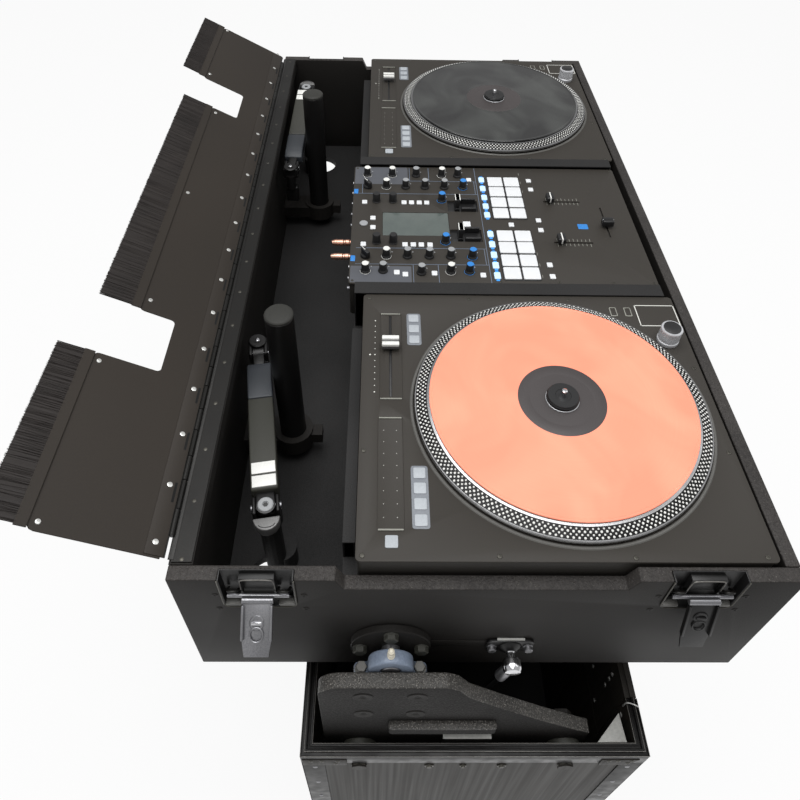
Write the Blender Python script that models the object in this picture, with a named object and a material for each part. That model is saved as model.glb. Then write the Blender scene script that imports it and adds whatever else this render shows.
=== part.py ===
"""A flip-up DJ console case: a deep castored base, and a console tray that turns in two end bearings.

Millimetres here, metres in Blender. X runs along the console, +Y is its rear, the DJ stands at -Y,
and Z is up from the floor. Left is -X, seen by the DJ.
"""
import math
import random

import bmesh
import bpy
from mathutils import Matrix, Vector

MM = 0.001
GAP = 0.3

# The origin lies under the middle of the whole, open flap included
FRAME_SHIFT = 75.5

# Console tray
HALF_LENGTH, HALF_DEPTH = 550.0, 304.0
DECK_TOP = 930.0
CONSOLE_BOTTOM, CONSOLE_TOP, BAND_TOP = 711.0, 925.0, 906.0
PANEL, FLOOR_PLY = 15.0, 12.0
HUMP_START = 145.0
COMPARTMENT_FRONT = 141.0
SHELF_TOP, FOAM_TOP = 868.0, 900.0
CABLE_HOLE_X, CABLE_HOLE_Y, CABLE_HOLE_RADIUS = 460.0, 235.0, 31.5

# Flip pivot
PIVOT_Y, PIVOT_Z = 90.0, 781.0
HUB_RADIUS, HUB_PLATE, SHAFT_RADIUS = 43.0, 8.0, 10.0
ARM_INNER, ARM_THICK = 583.5, 16.0
BEARING_INNER, BEARING_OUTER = 567.5, 582.5
BOLT_Y, BOLT_Z = 124.5, 581.0

# Base case
BASE_HALF_LENGTH, WALL = 621.5, 12.0
BASE_FRONT, BASE_REAR = -215.8, 191.8
BASE_BOTTOM, RIM_TOP, RIM_HEIGHT, RIM_LIP = 155.0, 620.0, 26.0, 1.5
DOOR_HALF, SILL_TOP = 561.0, 466.0
DOOR_HINGE_Y = BASE_FRONT - 4.0
DOOR_HINGES = (-420, -140, 140, 420)

# Castors
WHEEL_RADIUS, WHEEL_WIDTH = 62.5, 32.0
CASTOR_X, CASTOR_FRONT, CASTOR_REAR = 520.0, -140.0, 116.0

# Gas struts
STRUT_X = 573.0
STRUT_FOOT = (60.0, 401.0)
STRUT_HEAD = (-40.0, 772.0)

# Rear flap, open as it stands in use
FLAP_HINGE_Y, FLAP_HINGE_Z, FLAP_ANGLE = 306.0, 929.3, math.radians(28)
FLAP_HALF, FLAP_SHEET = 533.0, 1.6
SIDE_TAB_REACH, MIDDLE_TAB_REACH, CUTOUT_REACH = 128.0, 99.0, 54.5
CUTOUT_INNER, CUTOUT_OUTER = 243.0, 323.0
SIDE_BRISTLE, MIDDLE_BRISTLE, BRISTLE_COUNT = 34.0, 43.0, 301

# Turntable decks
DECK_X, DECK_WIDTH, DECK_FRONT, DECK_REAR = 349.3, 368.0, -283.4, 126.6
PLATTER_Y, PLATTER_RADIUS, RECORD_RADIUS = -102.2, 167.5, 150.5
PLATTER_TOP, RECORD_TOP, PUCK_RADIUS = 941.5, 944.3, 28.0

# Mixer
MIXER_HALF, MIXER_FRONT, MIXER_REAR = 141.5, -276.5, 148.0
MIXER_TOP = 928.0

# Monitor arms and poles
POLE_X, POLE_Y, POLE_RADIUS, POLE_BOTTOM, POLE_TOP = 264.5, 223.0, 17.3, 738.0, 993.0
ARM_WIDTH = 31.0
LEFT_POST, LEFT_WRIST, LEFT_SHOULDER_Z = (-443.0, 228.0), (-221.0, 265.0, 872.0), 870.0
RIGHT_POST, RIGHT_WRIST, RIGHT_SHOULDER_Z = (443.0, 254.0), (208.0, 262.0, 880.0), 902.0
COLLAR_INSET_X, COLLAR_INSET_Y, COLLAR_RADIUS = 10.0, 6.0, 18.0

# Latch levers: length, and lean from the panel
REAR_LEVER, FRONT_LEVER = (52.0, math.radians(50)), (65.0, math.radians(17))


def clear_scene():
    for item in list(bpy.data.objects):
        bpy.data.objects.remove(item, do_unlink=True)


def material(name, colour, roughness, metallic=0.0):
    made = bpy.data.materials.new(name)
    made.use_nodes = True
    shader = made.node_tree.nodes["Principled BSDF"]
    shader.inputs["Base Color"].default_value = (*colour, 1.0)
    shader.inputs["Roughness"].default_value = roughness
    shader.inputs["Metallic"].default_value = metallic
    return made


def shape_object(name, mesh_data):
    """A mesh in world millimetres becomes a hidden helper object in metres."""
    bmesh.ops.recalc_face_normals(mesh_data, faces=mesh_data.faces)
    bmesh.ops.scale(mesh_data, vec=(MM, MM, MM), verts=mesh_data.verts)
    mesh = bpy.data.meshes.new(name)
    mesh_data.to_mesh(mesh)
    mesh_data.free()
    item = bpy.data.objects.new(name, mesh)
    bpy.context.scene.collection.objects.link(item)
    item.hide_render = True
    item.display_type = "WIRE"
    return item


def block(low, high):
    """A box between two corners."""
    data = bmesh.new()
    size = [b - a for a, b in zip(low, high)]
    middle = [(a + b) / 2 for a, b in zip(low, high)]
    bmesh.ops.create_cube(data, size=1.0, matrix=Matrix.Translation(middle) @ Matrix.Diagonal((*size, 1.0)))
    return shape_object("block", data)


def rod(start, end, radius, sides=16, end_radius=None):
    """A round bar, or a cone when the end radius differs."""
    start, end = Vector(start), Vector(end)
    run = end - start
    turn = run.to_track_quat("Z", "Y").to_matrix().to_4x4()
    data = bmesh.new()
    bmesh.ops.create_cone(
        data, cap_ends=True, segments=sides, radius1=radius,
        radius2=radius if end_radius is None else end_radius, depth=run.length,
        matrix=Matrix.Translation((start + end) / 2) @ turn)
    return shape_object("rod", data)


def plate(outline, axis, low, high):
    """An outline in the plane across an axis, thick from low to high along it."""
    data = bmesh.new()
    places = {"x": lambda a, b, c: (c, a, b), "y": lambda a, b, c: (a, c, b), "z": lambda a, b, c: (a, b, c)}
    place = places[axis]
    corners = [data.verts.new(place(a, b, low)) for a, b in outline]
    face = data.faces.new(corners)
    made = bmesh.ops.extrude_face_region(data, geom=[face])
    step = Vector(place(0.0, 0.0, high - low))
    moved = [item for item in made["geom"] if isinstance(item, bmesh.types.BMVert)]
    bmesh.ops.translate(data, vec=step, verts=moved)
    return shape_object("plate", data)


def arc(centre_a, centre_b, radius, start, end, steps):
    """Points along an arc, with its angles in degrees."""
    angles = [math.radians(start + (end - start) * i / steps) for i in range(steps + 1)]
    return [(centre_a + radius * math.cos(t), centre_b + radius * math.sin(t)) for t in angles]


def rounded(low_a, high_a, low_b, high_b, radius, steps=3):
    """A rectangle with round corners."""
    return (arc(high_a - radius, high_b - radius, radius, 0, 90, steps)
            + arc(low_a + radius, high_b - radius, radius, 90, 180, steps)
            + arc(low_a + radius, low_b + radius, radius, 180, 270, steps)
            + arc(high_a - radius, low_b + radius, radius, 270, 360, steps))


def gathered(items):
    """Helpers that don't touch each other become one helper."""
    first, rest = items[0], items[1:]
    data = bmesh.new()
    for item in [first, *rest]:
        data.from_mesh(item.data)
    data.to_mesh(first.data)
    data.free()
    for item in rest:
        bpy.data.objects.remove(item, do_unlink=True)
    return first


def part(name, finish, adds, cuts=(), origin=(0.0, 0.0, 0.0), smooth=False):
    """One node: the first shape, joined with the others and cut, with its origin on its joint."""
    item = adds[0]
    item.name = name
    item.data.name = name
    item.hide_render = False
    item.display_type = "TEXTURED"
    shift = Vector(origin) * MM
    item.data.transform(Matrix.Translation(-shift))
    item.location = shift
    item.data.materials.append(finish)
    for tool in adds[1:]:
        join(item, tool)
    for tool in cuts:
        join(item, tool, "DIFFERENCE")
    if smooth:
        item.data.shade_smooth()
        item.data.set_sharp_from_angle(angle=math.radians(35))
    return item


def join(item, tool, how="UNION"):
    """Add a helper to a node, or cut it away."""
    step = item.modifiers.new(how.lower(), "BOOLEAN")
    step.operation = how
    step.solver = "EXACT"
    step.object = tool


def turned_about(item, angle, axis, centre):
    """Turn a helper about a line through a point given in millimetres."""
    spot = Vector(centre) * MM
    turn = Matrix.Translation(spot) @ Matrix.Rotation(angle, 4, axis) @ Matrix.Translation(-spot)
    item.data.transform(turn)
    return item


def sides():
    """The two ends of the case: a name and the sign of X."""
    return (("left", -1), ("right", 1))


def facing(sign, low, high):
    """A span of X from the middle outwards, for one end."""
    return (low, high) if sign > 0 else (-high, -low)


def end_block(sign, x_low, x_high, y_low, y_high, z_low, z_high):
    x0, x1 = facing(sign, x_low, x_high)
    return block((x0, y_low, z_low), (x1, y_high, z_high))


def end_rod(sign, x_low, x_high, y, z, radius, count=16):
    return rod((sign * x_low, y, z), (sign * x_high, y, z), radius, count)


def base_case(ply, rim_metal):
    inner_end = BASE_HALF_LENGTH - WALL
    wall_top = RIM_TOP - RIM_LIP - GAP
    castors = []
    for x in (-CASTOR_X, CASTOR_X):
        for y in (CASTOR_FRONT, CASTOR_REAR):
            top = BASE_BOTTOM + 1.0
            castors.append(block((x - 52, y - 42, top - 7), (x + 52, y + 42, top)))
            for side in (-1, 1):
                inside, outside = sorted((y + side * 21.0, y + side * 25.0))
                fork = [(x - 24, top - 5), (x + 24, top - 5),
                        (x + 13, WHEEL_RADIUS - 13), (x - 13, WHEEL_RADIUS - 13)]
                castors.append(plate(fork, "y", inside, outside))
    floor = block((-BASE_HALF_LENGTH, BASE_FRONT, BASE_BOTTOM),
                  (BASE_HALF_LENGTH, BASE_REAR, BASE_BOTTOM + WALL))
    part("base_floor", ply, [floor, *castors])
    wall_bottom = BASE_BOTTOM + WALL + GAP
    part("base_rear_wall", ply, [block(
        (-inner_end + GAP, BASE_REAR - WALL, wall_bottom), (inner_end - GAP, BASE_REAR, wall_top))])
    front = plate(
        [(-inner_end + GAP, wall_bottom), (inner_end - GAP, wall_bottom), (inner_end - GAP, wall_top),
         (DOOR_HALF, wall_top), (DOOR_HALF, SILL_TOP), (-DOOR_HALF, SILL_TOP),
         (-DOOR_HALF, wall_top), (-inner_end + GAP, wall_top)],
        "y", BASE_FRONT, BASE_FRONT + WALL)
    knuckles = []
    for x in DOOR_HINGES:
        low, high = x - 60, x - 20
        knuckles.append(block((low, BASE_FRONT - 2.4, SILL_TOP - 30), (high, BASE_FRONT + 2, SILL_TOP - 4)))
        knuckles.append(rod((low, DOOR_HINGE_Y, SILL_TOP), (high, DOOR_HINGE_Y, SILL_TOP), 3.4, 12))
        knuckles.append(block((low, DOOR_HINGE_Y - 1, SILL_TOP - 12), (high, BASE_FRONT - 1, SILL_TOP - 1)))
    part("base_front_wall", ply, [front, *knuckles])
    for name, sign in sides():
        wall = end_block(sign, inner_end, BASE_HALF_LENGTH, BASE_FRONT, BASE_REAR, wall_bottom, wall_top)
        heads = [end_rod(sign, BASE_HALF_LENGTH - 2, BASE_HALF_LENGTH + 4, y, BOLT_Z, 10, 6)
                 for y in (-BOLT_Y, BOLT_Y)]
        foot_y, foot_z = STRUT_FOOT
        foot = end_block(sign, STRUT_X + 13, inner_end + 2,
                         foot_y - 18, foot_y + 18, foot_z - 16, foot_z + 16)
        stud = end_rod(sign, STRUT_X - 9, STRUT_X + 16, foot_y, foot_z, 5)
        part(f"base_end_wall_{name}", ply, [wall, *heads, foot, stud])

    # The rim is a channel round the rear, the ends and the front corners, with a tongue on top
    rim_low = RIM_TOP - RIM_HEIGHT

    def loop(grow):
        x, front_y, rear_y = BASE_HALF_LENGTH + grow, BASE_FRONT - grow, BASE_REAR + grow
        return [(-DOOR_HALF, front_y), (-x, front_y), (-x, rear_y),
                (x, rear_y), (x, front_y), (DOOR_HALF, front_y)]

    def ring(outside, inside, low, high):
        return plate(loop(outside) + loop(inside)[::-1], "z", low, high)

    top = ring(RIM_LIP, -WALL - 0.5, wall_top + GAP, RIM_TOP)
    skirt = ring(RIM_LIP, GAP, rim_low, RIM_TOP - 0.4)
    tongue = ring(-3.0, -6.5, RIM_TOP - 0.4, RIM_TOP + 3.5)
    part("base_rim", rim_metal, [top, skirt, tongue])


def front_door(ply):
    """The drop-down door that lets the console's front swing into the base."""
    x = DOOR_HALF - 1.0
    leaf = block((-x, BASE_FRONT, SILL_TOP + 1.0), (x, BASE_FRONT + WALL, RIM_TOP - 1.0))
    rim = block((-x, BASE_FRONT - RIM_LIP, RIM_TOP - RIM_HEIGHT), (x, BASE_FRONT + WALL + 0.5, RIM_TOP))
    tongue = block((-x, BASE_FRONT + 3.0, RIM_TOP - 1.0), (x, BASE_FRONT + 6.5, RIM_TOP + 3.5))
    knuckles = []
    for centre in DOOR_HINGES:
        low, high = centre - 19.5, centre + 19.5
        knuckles.append(block((low, BASE_FRONT - 2.4, SILL_TOP + 4), (high, BASE_FRONT + 2, SILL_TOP + 30)))
        knuckles.append(rod((low, DOOR_HINGE_Y, SILL_TOP), (high, DOOR_HINGE_Y, SILL_TOP), 3.4, 12))
        knuckles.append(block((low, DOOR_HINGE_Y - 1, SILL_TOP + 1), (high, BASE_FRONT - 1, SILL_TOP + 12)))
    part("front_door", ply, [leaf, rim, tongue, *knuckles], origin=(0, DOOR_HINGE_Y, SILL_TOP))


def castor_wheels(rubber):
    number = 0
    for x in (-CASTOR_X, CASTOR_X):
        for y in (CASTOR_FRONT, CASTOR_REAR):
            number += 1
            half = WHEEL_WIDTH / 2
            tyre = rod((x, y - half, WHEEL_RADIUS), (x, y + half, WHEEL_RADIUS), WHEEL_RADIUS, 24)
            hub = rod((x, y - half - 3, WHEEL_RADIUS), (x, y + half + 3, WHEEL_RADIUS), 16, 12)
            part(f"castor_wheel_{number}", rubber, [tyre, hub], origin=(x, y, WHEEL_RADIUS), smooth=True)


def pivot_arm(name, sign, coated):
    """The coated arm plate, bolted to the end wall through two round spacers."""
    outline = [(-150, 546), (167, 546), (167, 758)] + arc(141, 758, 26, 0, 90, 4)[1:] + [
        (30, 784), (17, 775), (4, 752), (-33, 718), (-88, 671), (-136, 634), (-150, 625)]
    outer = ARM_INNER + ARM_THICK
    x0, x1 = facing(sign, ARM_INNER, outer)
    arm = plate(outline, "x", x0, x1)
    rib = end_block(sign, outer - 1, outer + 9, -33, 91, 628, 676)
    pad = end_block(sign, outer - 1, outer + 5, -33, 25, 590, 621)
    spacers = [end_rod(sign, outer - 1, BASE_HALF_LENGTH - WALL - GAP, y, BOLT_Z, 20)
               for y in (-BOLT_Y, BOLT_Y)]
    nuts = [end_rod(sign, ARM_INNER - 11, ARM_INNER + 1, y, z, r, 6) for y, z, r in (
        (-119, 617, 18), (BOLT_Y, BOLT_Z, 11))]
    bracket = end_block(sign, BEARING_INNER - 0.5, ARM_INNER + 1, PIVOT_Y - 40, PIVOT_Y + 40,
                        PIVOT_Z - 44, PIVOT_Z - 24 - GAP)
    screws = [end_rod(sign, outer - 1, outer + 1.5, PIVOT_Y + a, z, 10, 16)
              for a in (-29, 29) for z in (757, 700)]
    part(f"pivot_arm_{name}", coated, [arm, rib, pad, *spacers, *nuts, bracket, *screws])


def pillow_bearing(name, sign, casting):
    """A pillow block with two hex bolts and a grease nipple, bored for the hub's shaft."""
    low, high = BEARING_INNER, BEARING_OUTER
    x0, x1 = facing(sign, low, high)
    foot_z = PIVOT_Z - 24
    outline = [(PIVOT_Y - 40, foot_z), (PIVOT_Y + 40, foot_z),
               (PIVOT_Y + 38, foot_z + 11), (PIVOT_Y + 24, foot_z + 13)]
    outline += arc(PIVOT_Y, PIVOT_Z, 24, 0, 180, 12)
    outline += [(PIVOT_Y - 24, foot_z + 13), (PIVOT_Y - 38, foot_z + 11)]
    body = plate(outline, "x", x0, x1)
    middle = sign * (low + high) / 2
    bolts = [rod((middle, PIVOT_Y + a, foot_z + 9), (middle, PIVOT_Y + a, foot_z + 18), 6.5, 6)
             for a in (-31, 31)]
    nipple = rod((middle, PIVOT_Y, PIVOT_Z + 21), (middle, PIVOT_Y, PIVOT_Z + 33), 3.2, 10)
    bore = end_rod(sign, low - 5, high + 5, PIVOT_Y, PIVOT_Z, SHAFT_RADIUS + 0.5, 24)
    part(f"pillow_bearing_{name}", casting, [body, *bolts, nipple], [bore])


def pivot_hub(name, sign, coated):
    """The flange bolted to the end panel, with its shaft, and the gas strut's ball bracket below it."""
    outer = HALF_LENGTH + HUB_PLATE
    flange = end_rod(sign, HALF_LENGTH + GAP, outer, PIVOT_Y, PIVOT_Z, HUB_RADIUS, 32)
    shaft = end_rod(sign, outer - 1, ARM_INNER - 0.8, PIVOT_Y, PIVOT_Z, SHAFT_RADIUS, 24)
    bolts = [end_rod(sign, outer - 1, outer + 7, PIVOT_Y + 33 * math.cos(t), PIVOT_Z + 33 * math.sin(t), 8, 6)
             for t in (0, math.pi / 2, math.pi, -math.pi / 2)]
    y, z = STRUT_HEAD
    strap = end_block(sign, HALF_LENGTH + GAP, HALF_LENGTH + 4, y - 26, PIVOT_Y - 30, z - 15, z + 13)
    cup = rod((sign * (HALF_LENGTH + 3), y, z), (sign * (HALF_LENGTH + 10), y, z), 13, 20, end_radius=8)
    stud = end_rod(sign, HALF_LENGTH + 9, STRUT_X - 7, y, z, 5)
    ears = [end_rod(sign, HALF_LENGTH + 3, HALF_LENGTH + 9, y + a, z, 5, 6) for a in (-20, 20)]
    part(f"pivot_hub_{name}", coated, [flange, strap, shaft, gathered(bolts), cup, stud, gathered(ears)],
         origin=(sign * HALF_LENGTH, PIVOT_Y, PIVOT_Z))


def gas_strut(name, sign, black, chrome):
    foot, head = Vector(STRUT_FOOT), Vector(STRUT_HEAD)
    along = (head - foot).normalized()
    x = sign * STRUT_X

    def at(distance):
        spot = foot + along * distance
        return (x, spot.x, spot.y)

    cylinder_end, piston_start = 205.0, 178.0
    tube = rod(at(14), at(cylinder_end), 9.0, 16)
    eye = end_rod(sign, STRUT_X - 7, STRUT_X + 7, foot.x, foot.y, 10, 16)
    neck = rod(at(5), at(20), 5.0, 16)
    bore = end_rod(sign, STRUT_X - 12, STRUT_X + 12, foot.x, foot.y, 5.5, 16)
    hollow = rod(at(40), at(cylinder_end + 5), 4.7, 12)
    part(f"gas_strut_cylinder_{name}", black, [tube, neck, eye], [bore, hollow],
         origin=(x, foot.x, foot.y), smooth=True)
    reach = (head - foot).length
    piston = rod(at(piston_start), at(reach - 6), 4.0, 12)
    socket = end_rod(sign, STRUT_X - 6, STRUT_X + 8, head.x, head.y, 10, 16)
    sleeve = rod(at(reach - 34), at(reach - 5), 6.5, 16)
    part(f"gas_strut_rod_{name}", chrome, [piston, sleeve, socket], origin=(x, head.x, head.y), smooth=True)


def latch_places():
    """The four end latches: a name, the sign of X and the Y of the latch."""
    rows = (("rear", 220.0), ("front", -213.0))
    return [(f"{end}_{row}", sign, y) for end, sign in sides() for row, y in rows]


def console_tray(ply):
    inner = HALF_LENGTH - PANEL
    inner_depth = HALF_DEPTH - PANEL
    for name, sign in sides():
        x0, x1 = facing(sign, inner, HALF_LENGTH)
        top = [(-HALF_DEPTH, CONSOLE_BOTTOM), (HALF_DEPTH, CONSOLE_BOTTOM), (HALF_DEPTH, CONSOLE_TOP),
               (HUMP_START, CONSOLE_TOP), (HUMP_START - 8, BAND_TOP), (-HUMP_START + 8, BAND_TOP),
               (-HUMP_START, CONSOLE_TOP), (-HALF_DEPTH, CONSOLE_TOP)]
        panel = plate(top, "x", x0, x1)
        adds, cuts = [panel], []
        for _, _, y in [place for place in latch_places() if place[1] == sign]:
            pocket = rounded(y - 36, y + 36, 868, CONSOLE_TOP + 10, 8)
            cut_low, cut_high = facing(sign, HALF_LENGTH - 11, HALF_LENGTH + 5)
            cuts.append(plate(pocket, "x", cut_low, cut_high))
        keeps = []
        for _, _, y in [place for place in latch_places() if place[1] == sign]:
            keeps.append(end_block(sign, HALF_LENGTH - 15, HALF_LENGTH - 3, y - 17, y + 17, 899, 921))
            keeps.append(end_block(sign, HALF_LENGTH - 15, HALF_LENGTH + 3, y - 29, y - 19, 888, 900))
            keeps.append(end_block(sign, HALF_LENGTH - 15, HALF_LENGTH + 3, y + 19, y + 29, 888, 900))
        item = part(f"console_end_panel_{name}", ply, adds, cuts)
        for keep in keeps:
            join(item, keep)
    span = inner - GAP
    part("console_front_panel", ply, [block(
        (-span, -HALF_DEPTH, CONSOLE_BOTTOM), (span, -inner_depth, CONSOLE_TOP))])
    clamps = []
    for _, sign in sides():
        x = sign * POLE_X
        collar = rod((x, POLE_Y, 741), (x, POLE_Y, 769), 27, 20)
        arm = block((x - 20, POLE_Y + 15, 744), (x + 20, inner_depth + 2, 766))
        ear = block((x - 9, POLE_Y - 40, 746), (x + 9, POLE_Y - 20, 764))
        clamps += [collar, arm, ear]
    bores = [rod((sign * POLE_X, POLE_Y, 730), (sign * POLE_X, POLE_Y, 780), POLE_RADIUS + 0.6, 20)
             for _, sign in sides()]
    rear = block((-span, inner_depth, CONSOLE_BOTTOM), (span, HALF_DEPTH, CONSOLE_TOP))
    lip = block((-span, inner_depth - 8, CONSOLE_TOP - 18), (span, inner_depth + 1, CONSOLE_TOP))
    part("console_rear_panel", ply, [rear, lip, *clamps], bores)
    holes = [rod((sign * CABLE_HOLE_X, CABLE_HOLE_Y, CONSOLE_BOTTOM - 5),
                 (sign * CABLE_HOLE_X, CABLE_HOLE_Y, CONSOLE_BOTTOM + 20), CABLE_HOLE_RADIUS, 28)
             for _, sign in sides()]
    foot_z = CONSOLE_BOTTOM + FLOOR_PLY
    floor = block((-span, -inner_depth + GAP, CONSOLE_BOTTOM), (span, inner_depth - GAP, foot_z))
    posts = []
    arms = ((LEFT_POST, LEFT_SHOULDER_Z, -1), (RIGHT_POST, RIGHT_SHOULDER_Z, 1))
    for (x, y), shoulder_z, sign in arms:
        collar_x, collar_y = x - sign * COLLAR_INSET_X, y - COLLAR_INSET_Y
        posts.append(rod((collar_x, collar_y, foot_z), (collar_x, collar_y, foot_z + 34), COLLAR_RADIUS, 20))
        posts.append(rod((x, y, foot_z + 14), (x, y, shoulder_z - 30), 12.5, 16))
        posts.append(rod((x, y, shoulder_z - 35), (x, y, shoulder_z - 20), 7, 12))
        for offset in (-9, 9):
            near, far = facing(sign, CABLE_HOLE_X - 48, CABLE_HOLE_X + 42)
            leg_y = collar_y + offset
            posts.append(block((near, leg_y - 2.5, foot_z - 1), (far, leg_y + 2.5, foot_z + 5)))
    floor_item = part("console_floor", ply, [floor], holes)
    for piece in posts:
        join(floor_item, piece)
    shelf_low = SHELF_TOP - FLOOR_PLY
    shelf = block((-span, -inner_depth + GAP, shelf_low), (span, COMPARTMENT_FRONT, SHELF_TOP))
    divider = block((-span, COMPARTMENT_FRONT - FLOOR_PLY, CONSOLE_BOTTOM + FLOOR_PLY + GAP),
                    (span, COMPARTMENT_FRONT, SHELF_TOP - 1))
    adds = [shelf, divider]
    for sign in (-1, 1):
        middle = sign * DECK_X
        adds.append(block((middle - 150, DECK_REAR + 1.5, SHELF_TOP - 1),
                          (middle + 150, COMPARTMENT_FRONT, FOAM_TOP)))
        x0, x1 = facing(sign, MIXER_HALF + 1.5, DECK_X - DECK_WIDTH / 2 - 0.6)
        adds.append(block((x0, -275, SHELF_TOP - 1), (x1, 139, DECK_TOP + 2)))
    slots = [block((x - 45, COMPARTMENT_FRONT - 20, 765), (x + 45, COMPARTMENT_FRONT + 10, 805))
             for x in (-DECK_X, 0, DECK_X)]
    part("deck_shelf", ply, adds, [gathered(slots)])


def latch_levers(steel):
    """The lid latches' levers hang open, turned out from the panel."""
    hinge_x, hinge_z = HALF_LENGTH + 5.5, 894.0
    for name, sign, y in latch_places():
        length, lean = REAR_LEVER if y > 0 else FRONT_LEVER
        x = sign * hinge_x
        low, high = facing(sign, hinge_x - 1.4, hinge_x + 1.4)
        blade = block((low, y - 15, hinge_z - length), (high, y + 15, hinge_z - 2))
        flanges = [block((min(low, low + sign * 5), y + a, hinge_z - length * 0.66),
                         (max(high, high + sign * 5), y + b, hinge_z - 4)) for a, b in ((-15, -13), (13, 15))]
        barrel = rod((x, y - 15.4, hinge_z), (x, y + 15.4, hinge_z), 3.6, 14)
        wing = block((min(x, x + sign * 6), y - 9, hinge_z - length * 0.57),
                     (max(x, x + sign * 6), y + 9, hinge_z - length * 0.32))
        for piece in (blade, *flanges, wing):
            turned_about(piece, -sign * lean, "Y", (x, y, hinge_z))
        part(f"latch_lever_{name}", steel, [blade, *flanges, barrel, wing], origin=(x, y, hinge_z))


def flap_frame(item):
    """Lay a shape drawn along +Y from the hinge at its open angle."""
    return turned_about(item, FLAP_ANGLE, "X", (0, FLAP_HINGE_Y, FLAP_HINGE_Z))


def rear_flap(sheet_metal, bristle, leaf_metal):
    y, z = FLAP_HINGE_Y, FLAP_HINGE_Z
    outline = [(-FLAP_HALF, 6), (FLAP_HALF, 6), (FLAP_HALF, SIDE_TAB_REACH), (CUTOUT_OUTER, SIDE_TAB_REACH),
               (CUTOUT_OUTER, CUTOUT_REACH), (CUTOUT_INNER, CUTOUT_REACH), (CUTOUT_INNER, MIDDLE_TAB_REACH),
               (-CUTOUT_INNER, MIDDLE_TAB_REACH), (-CUTOUT_INNER, CUTOUT_REACH), (-CUTOUT_OUTER, CUTOUT_REACH),
               (-CUTOUT_OUTER, SIDE_TAB_REACH), (-FLAP_HALF, SIDE_TAB_REACH)]
    half = FLAP_SHEET / 2
    sheet = plate([(a, y + b) for a, b in outline], "z", z - half, z + half)
    leaf = block((-FLAP_HALF + 2, y + 4, z + half - 0.4), (FLAP_HALF - 2, y + 15, z + half + 1.2))
    knuckles, case_knuckles = [], []
    pitch = 61.8
    for index in range(17):
        middle = (index - 8) * pitch
        knuckles.append(rod((middle - 14, y, z), (middle + 14, y, z), 3.0, 8))
        knuckles.append(block((middle - 14, y, z - half), (middle + 14, y + 8, z + half)))
        if index < 16:
            case_knuckles.append(rod((middle + 15, y, z), (middle + pitch - 15, y, z), 3.0, 8))
            case_knuckles.append(block((middle + 15, y - 8, z - 3.6), (middle + pitch - 15, y, z - 2.5)))
    pieces = [sheet, leaf, gathered(knuckles[0::2]), gathered(knuckles[1::2])]
    for piece in pieces:
        flap_frame(piece)
    part("flap_panel", sheet_metal, pieces, origin=(0, y, z))
    case_leaf = block((-FLAP_HALF, y - 24, z - 3.9), (FLAP_HALF, y - 4.5, z - 2.3))
    part("flap_hinge_leaf", leaf_metal,
         [case_leaf, gathered(case_knuckles[0::2]), gathered(case_knuckles[1::2])])
    strips = (("left", -FLAP_HALF, -CUTOUT_OUTER, SIDE_TAB_REACH, SIDE_BRISTLE),
              ("middle", -CUTOUT_INNER, CUTOUT_INNER, MIDDLE_TAB_REACH, MIDDLE_BRISTLE),
              ("right", CUTOUT_OUTER, FLAP_HALF, SIDE_TAB_REACH, SIDE_BRISTLE))
    total = sum(high - low for _, low, high, _, _ in strips)
    for name, low, high, reach, length in strips:
        count = round(BRISTLE_COUNT * (high - low) / total)
        brush_strip(name, low + 1, high - 1, y + reach, z + half + GAP, count, length, bristle)


def brush_strip(name, low, high, edge, under, count, length, bristle):
    """Bristles fused to a slice of their metal holder, which lies on the flap's sheet."""
    spread = random.Random(len(name))
    thick = 3.0
    holder = block((low, edge - 9, under), (high, edge + 10, under + thick))
    data = bmesh.new()
    pitch = (high - low) / count
    for index in range(count):
        root = Vector((low + (index + 0.5) * pitch, edge + 6, under + thick / 2))
        tip = root + Vector((spread.uniform(-0.35, 0.35) * pitch, length + spread.uniform(-2.5, 1.5),
                             spread.uniform(-1.0, 1.0)))
        turn = (tip - root).to_track_quat("Z", "Y").to_matrix().to_4x4()
        bmesh.ops.create_cone(data, cap_ends=True, segments=3, radius1=1.0, radius2=0.45,
                              depth=(tip - root).length,
                              matrix=Matrix.Translation((root + tip) / 2) @ turn)
    strands = shape_object("strands", data)
    part(f"flap_brush_{name}", bristle, [flap_frame(holder), flap_frame(strands)],
         origin=(0, FLAP_HINGE_Y, FLAP_HINGE_Z))


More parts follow.
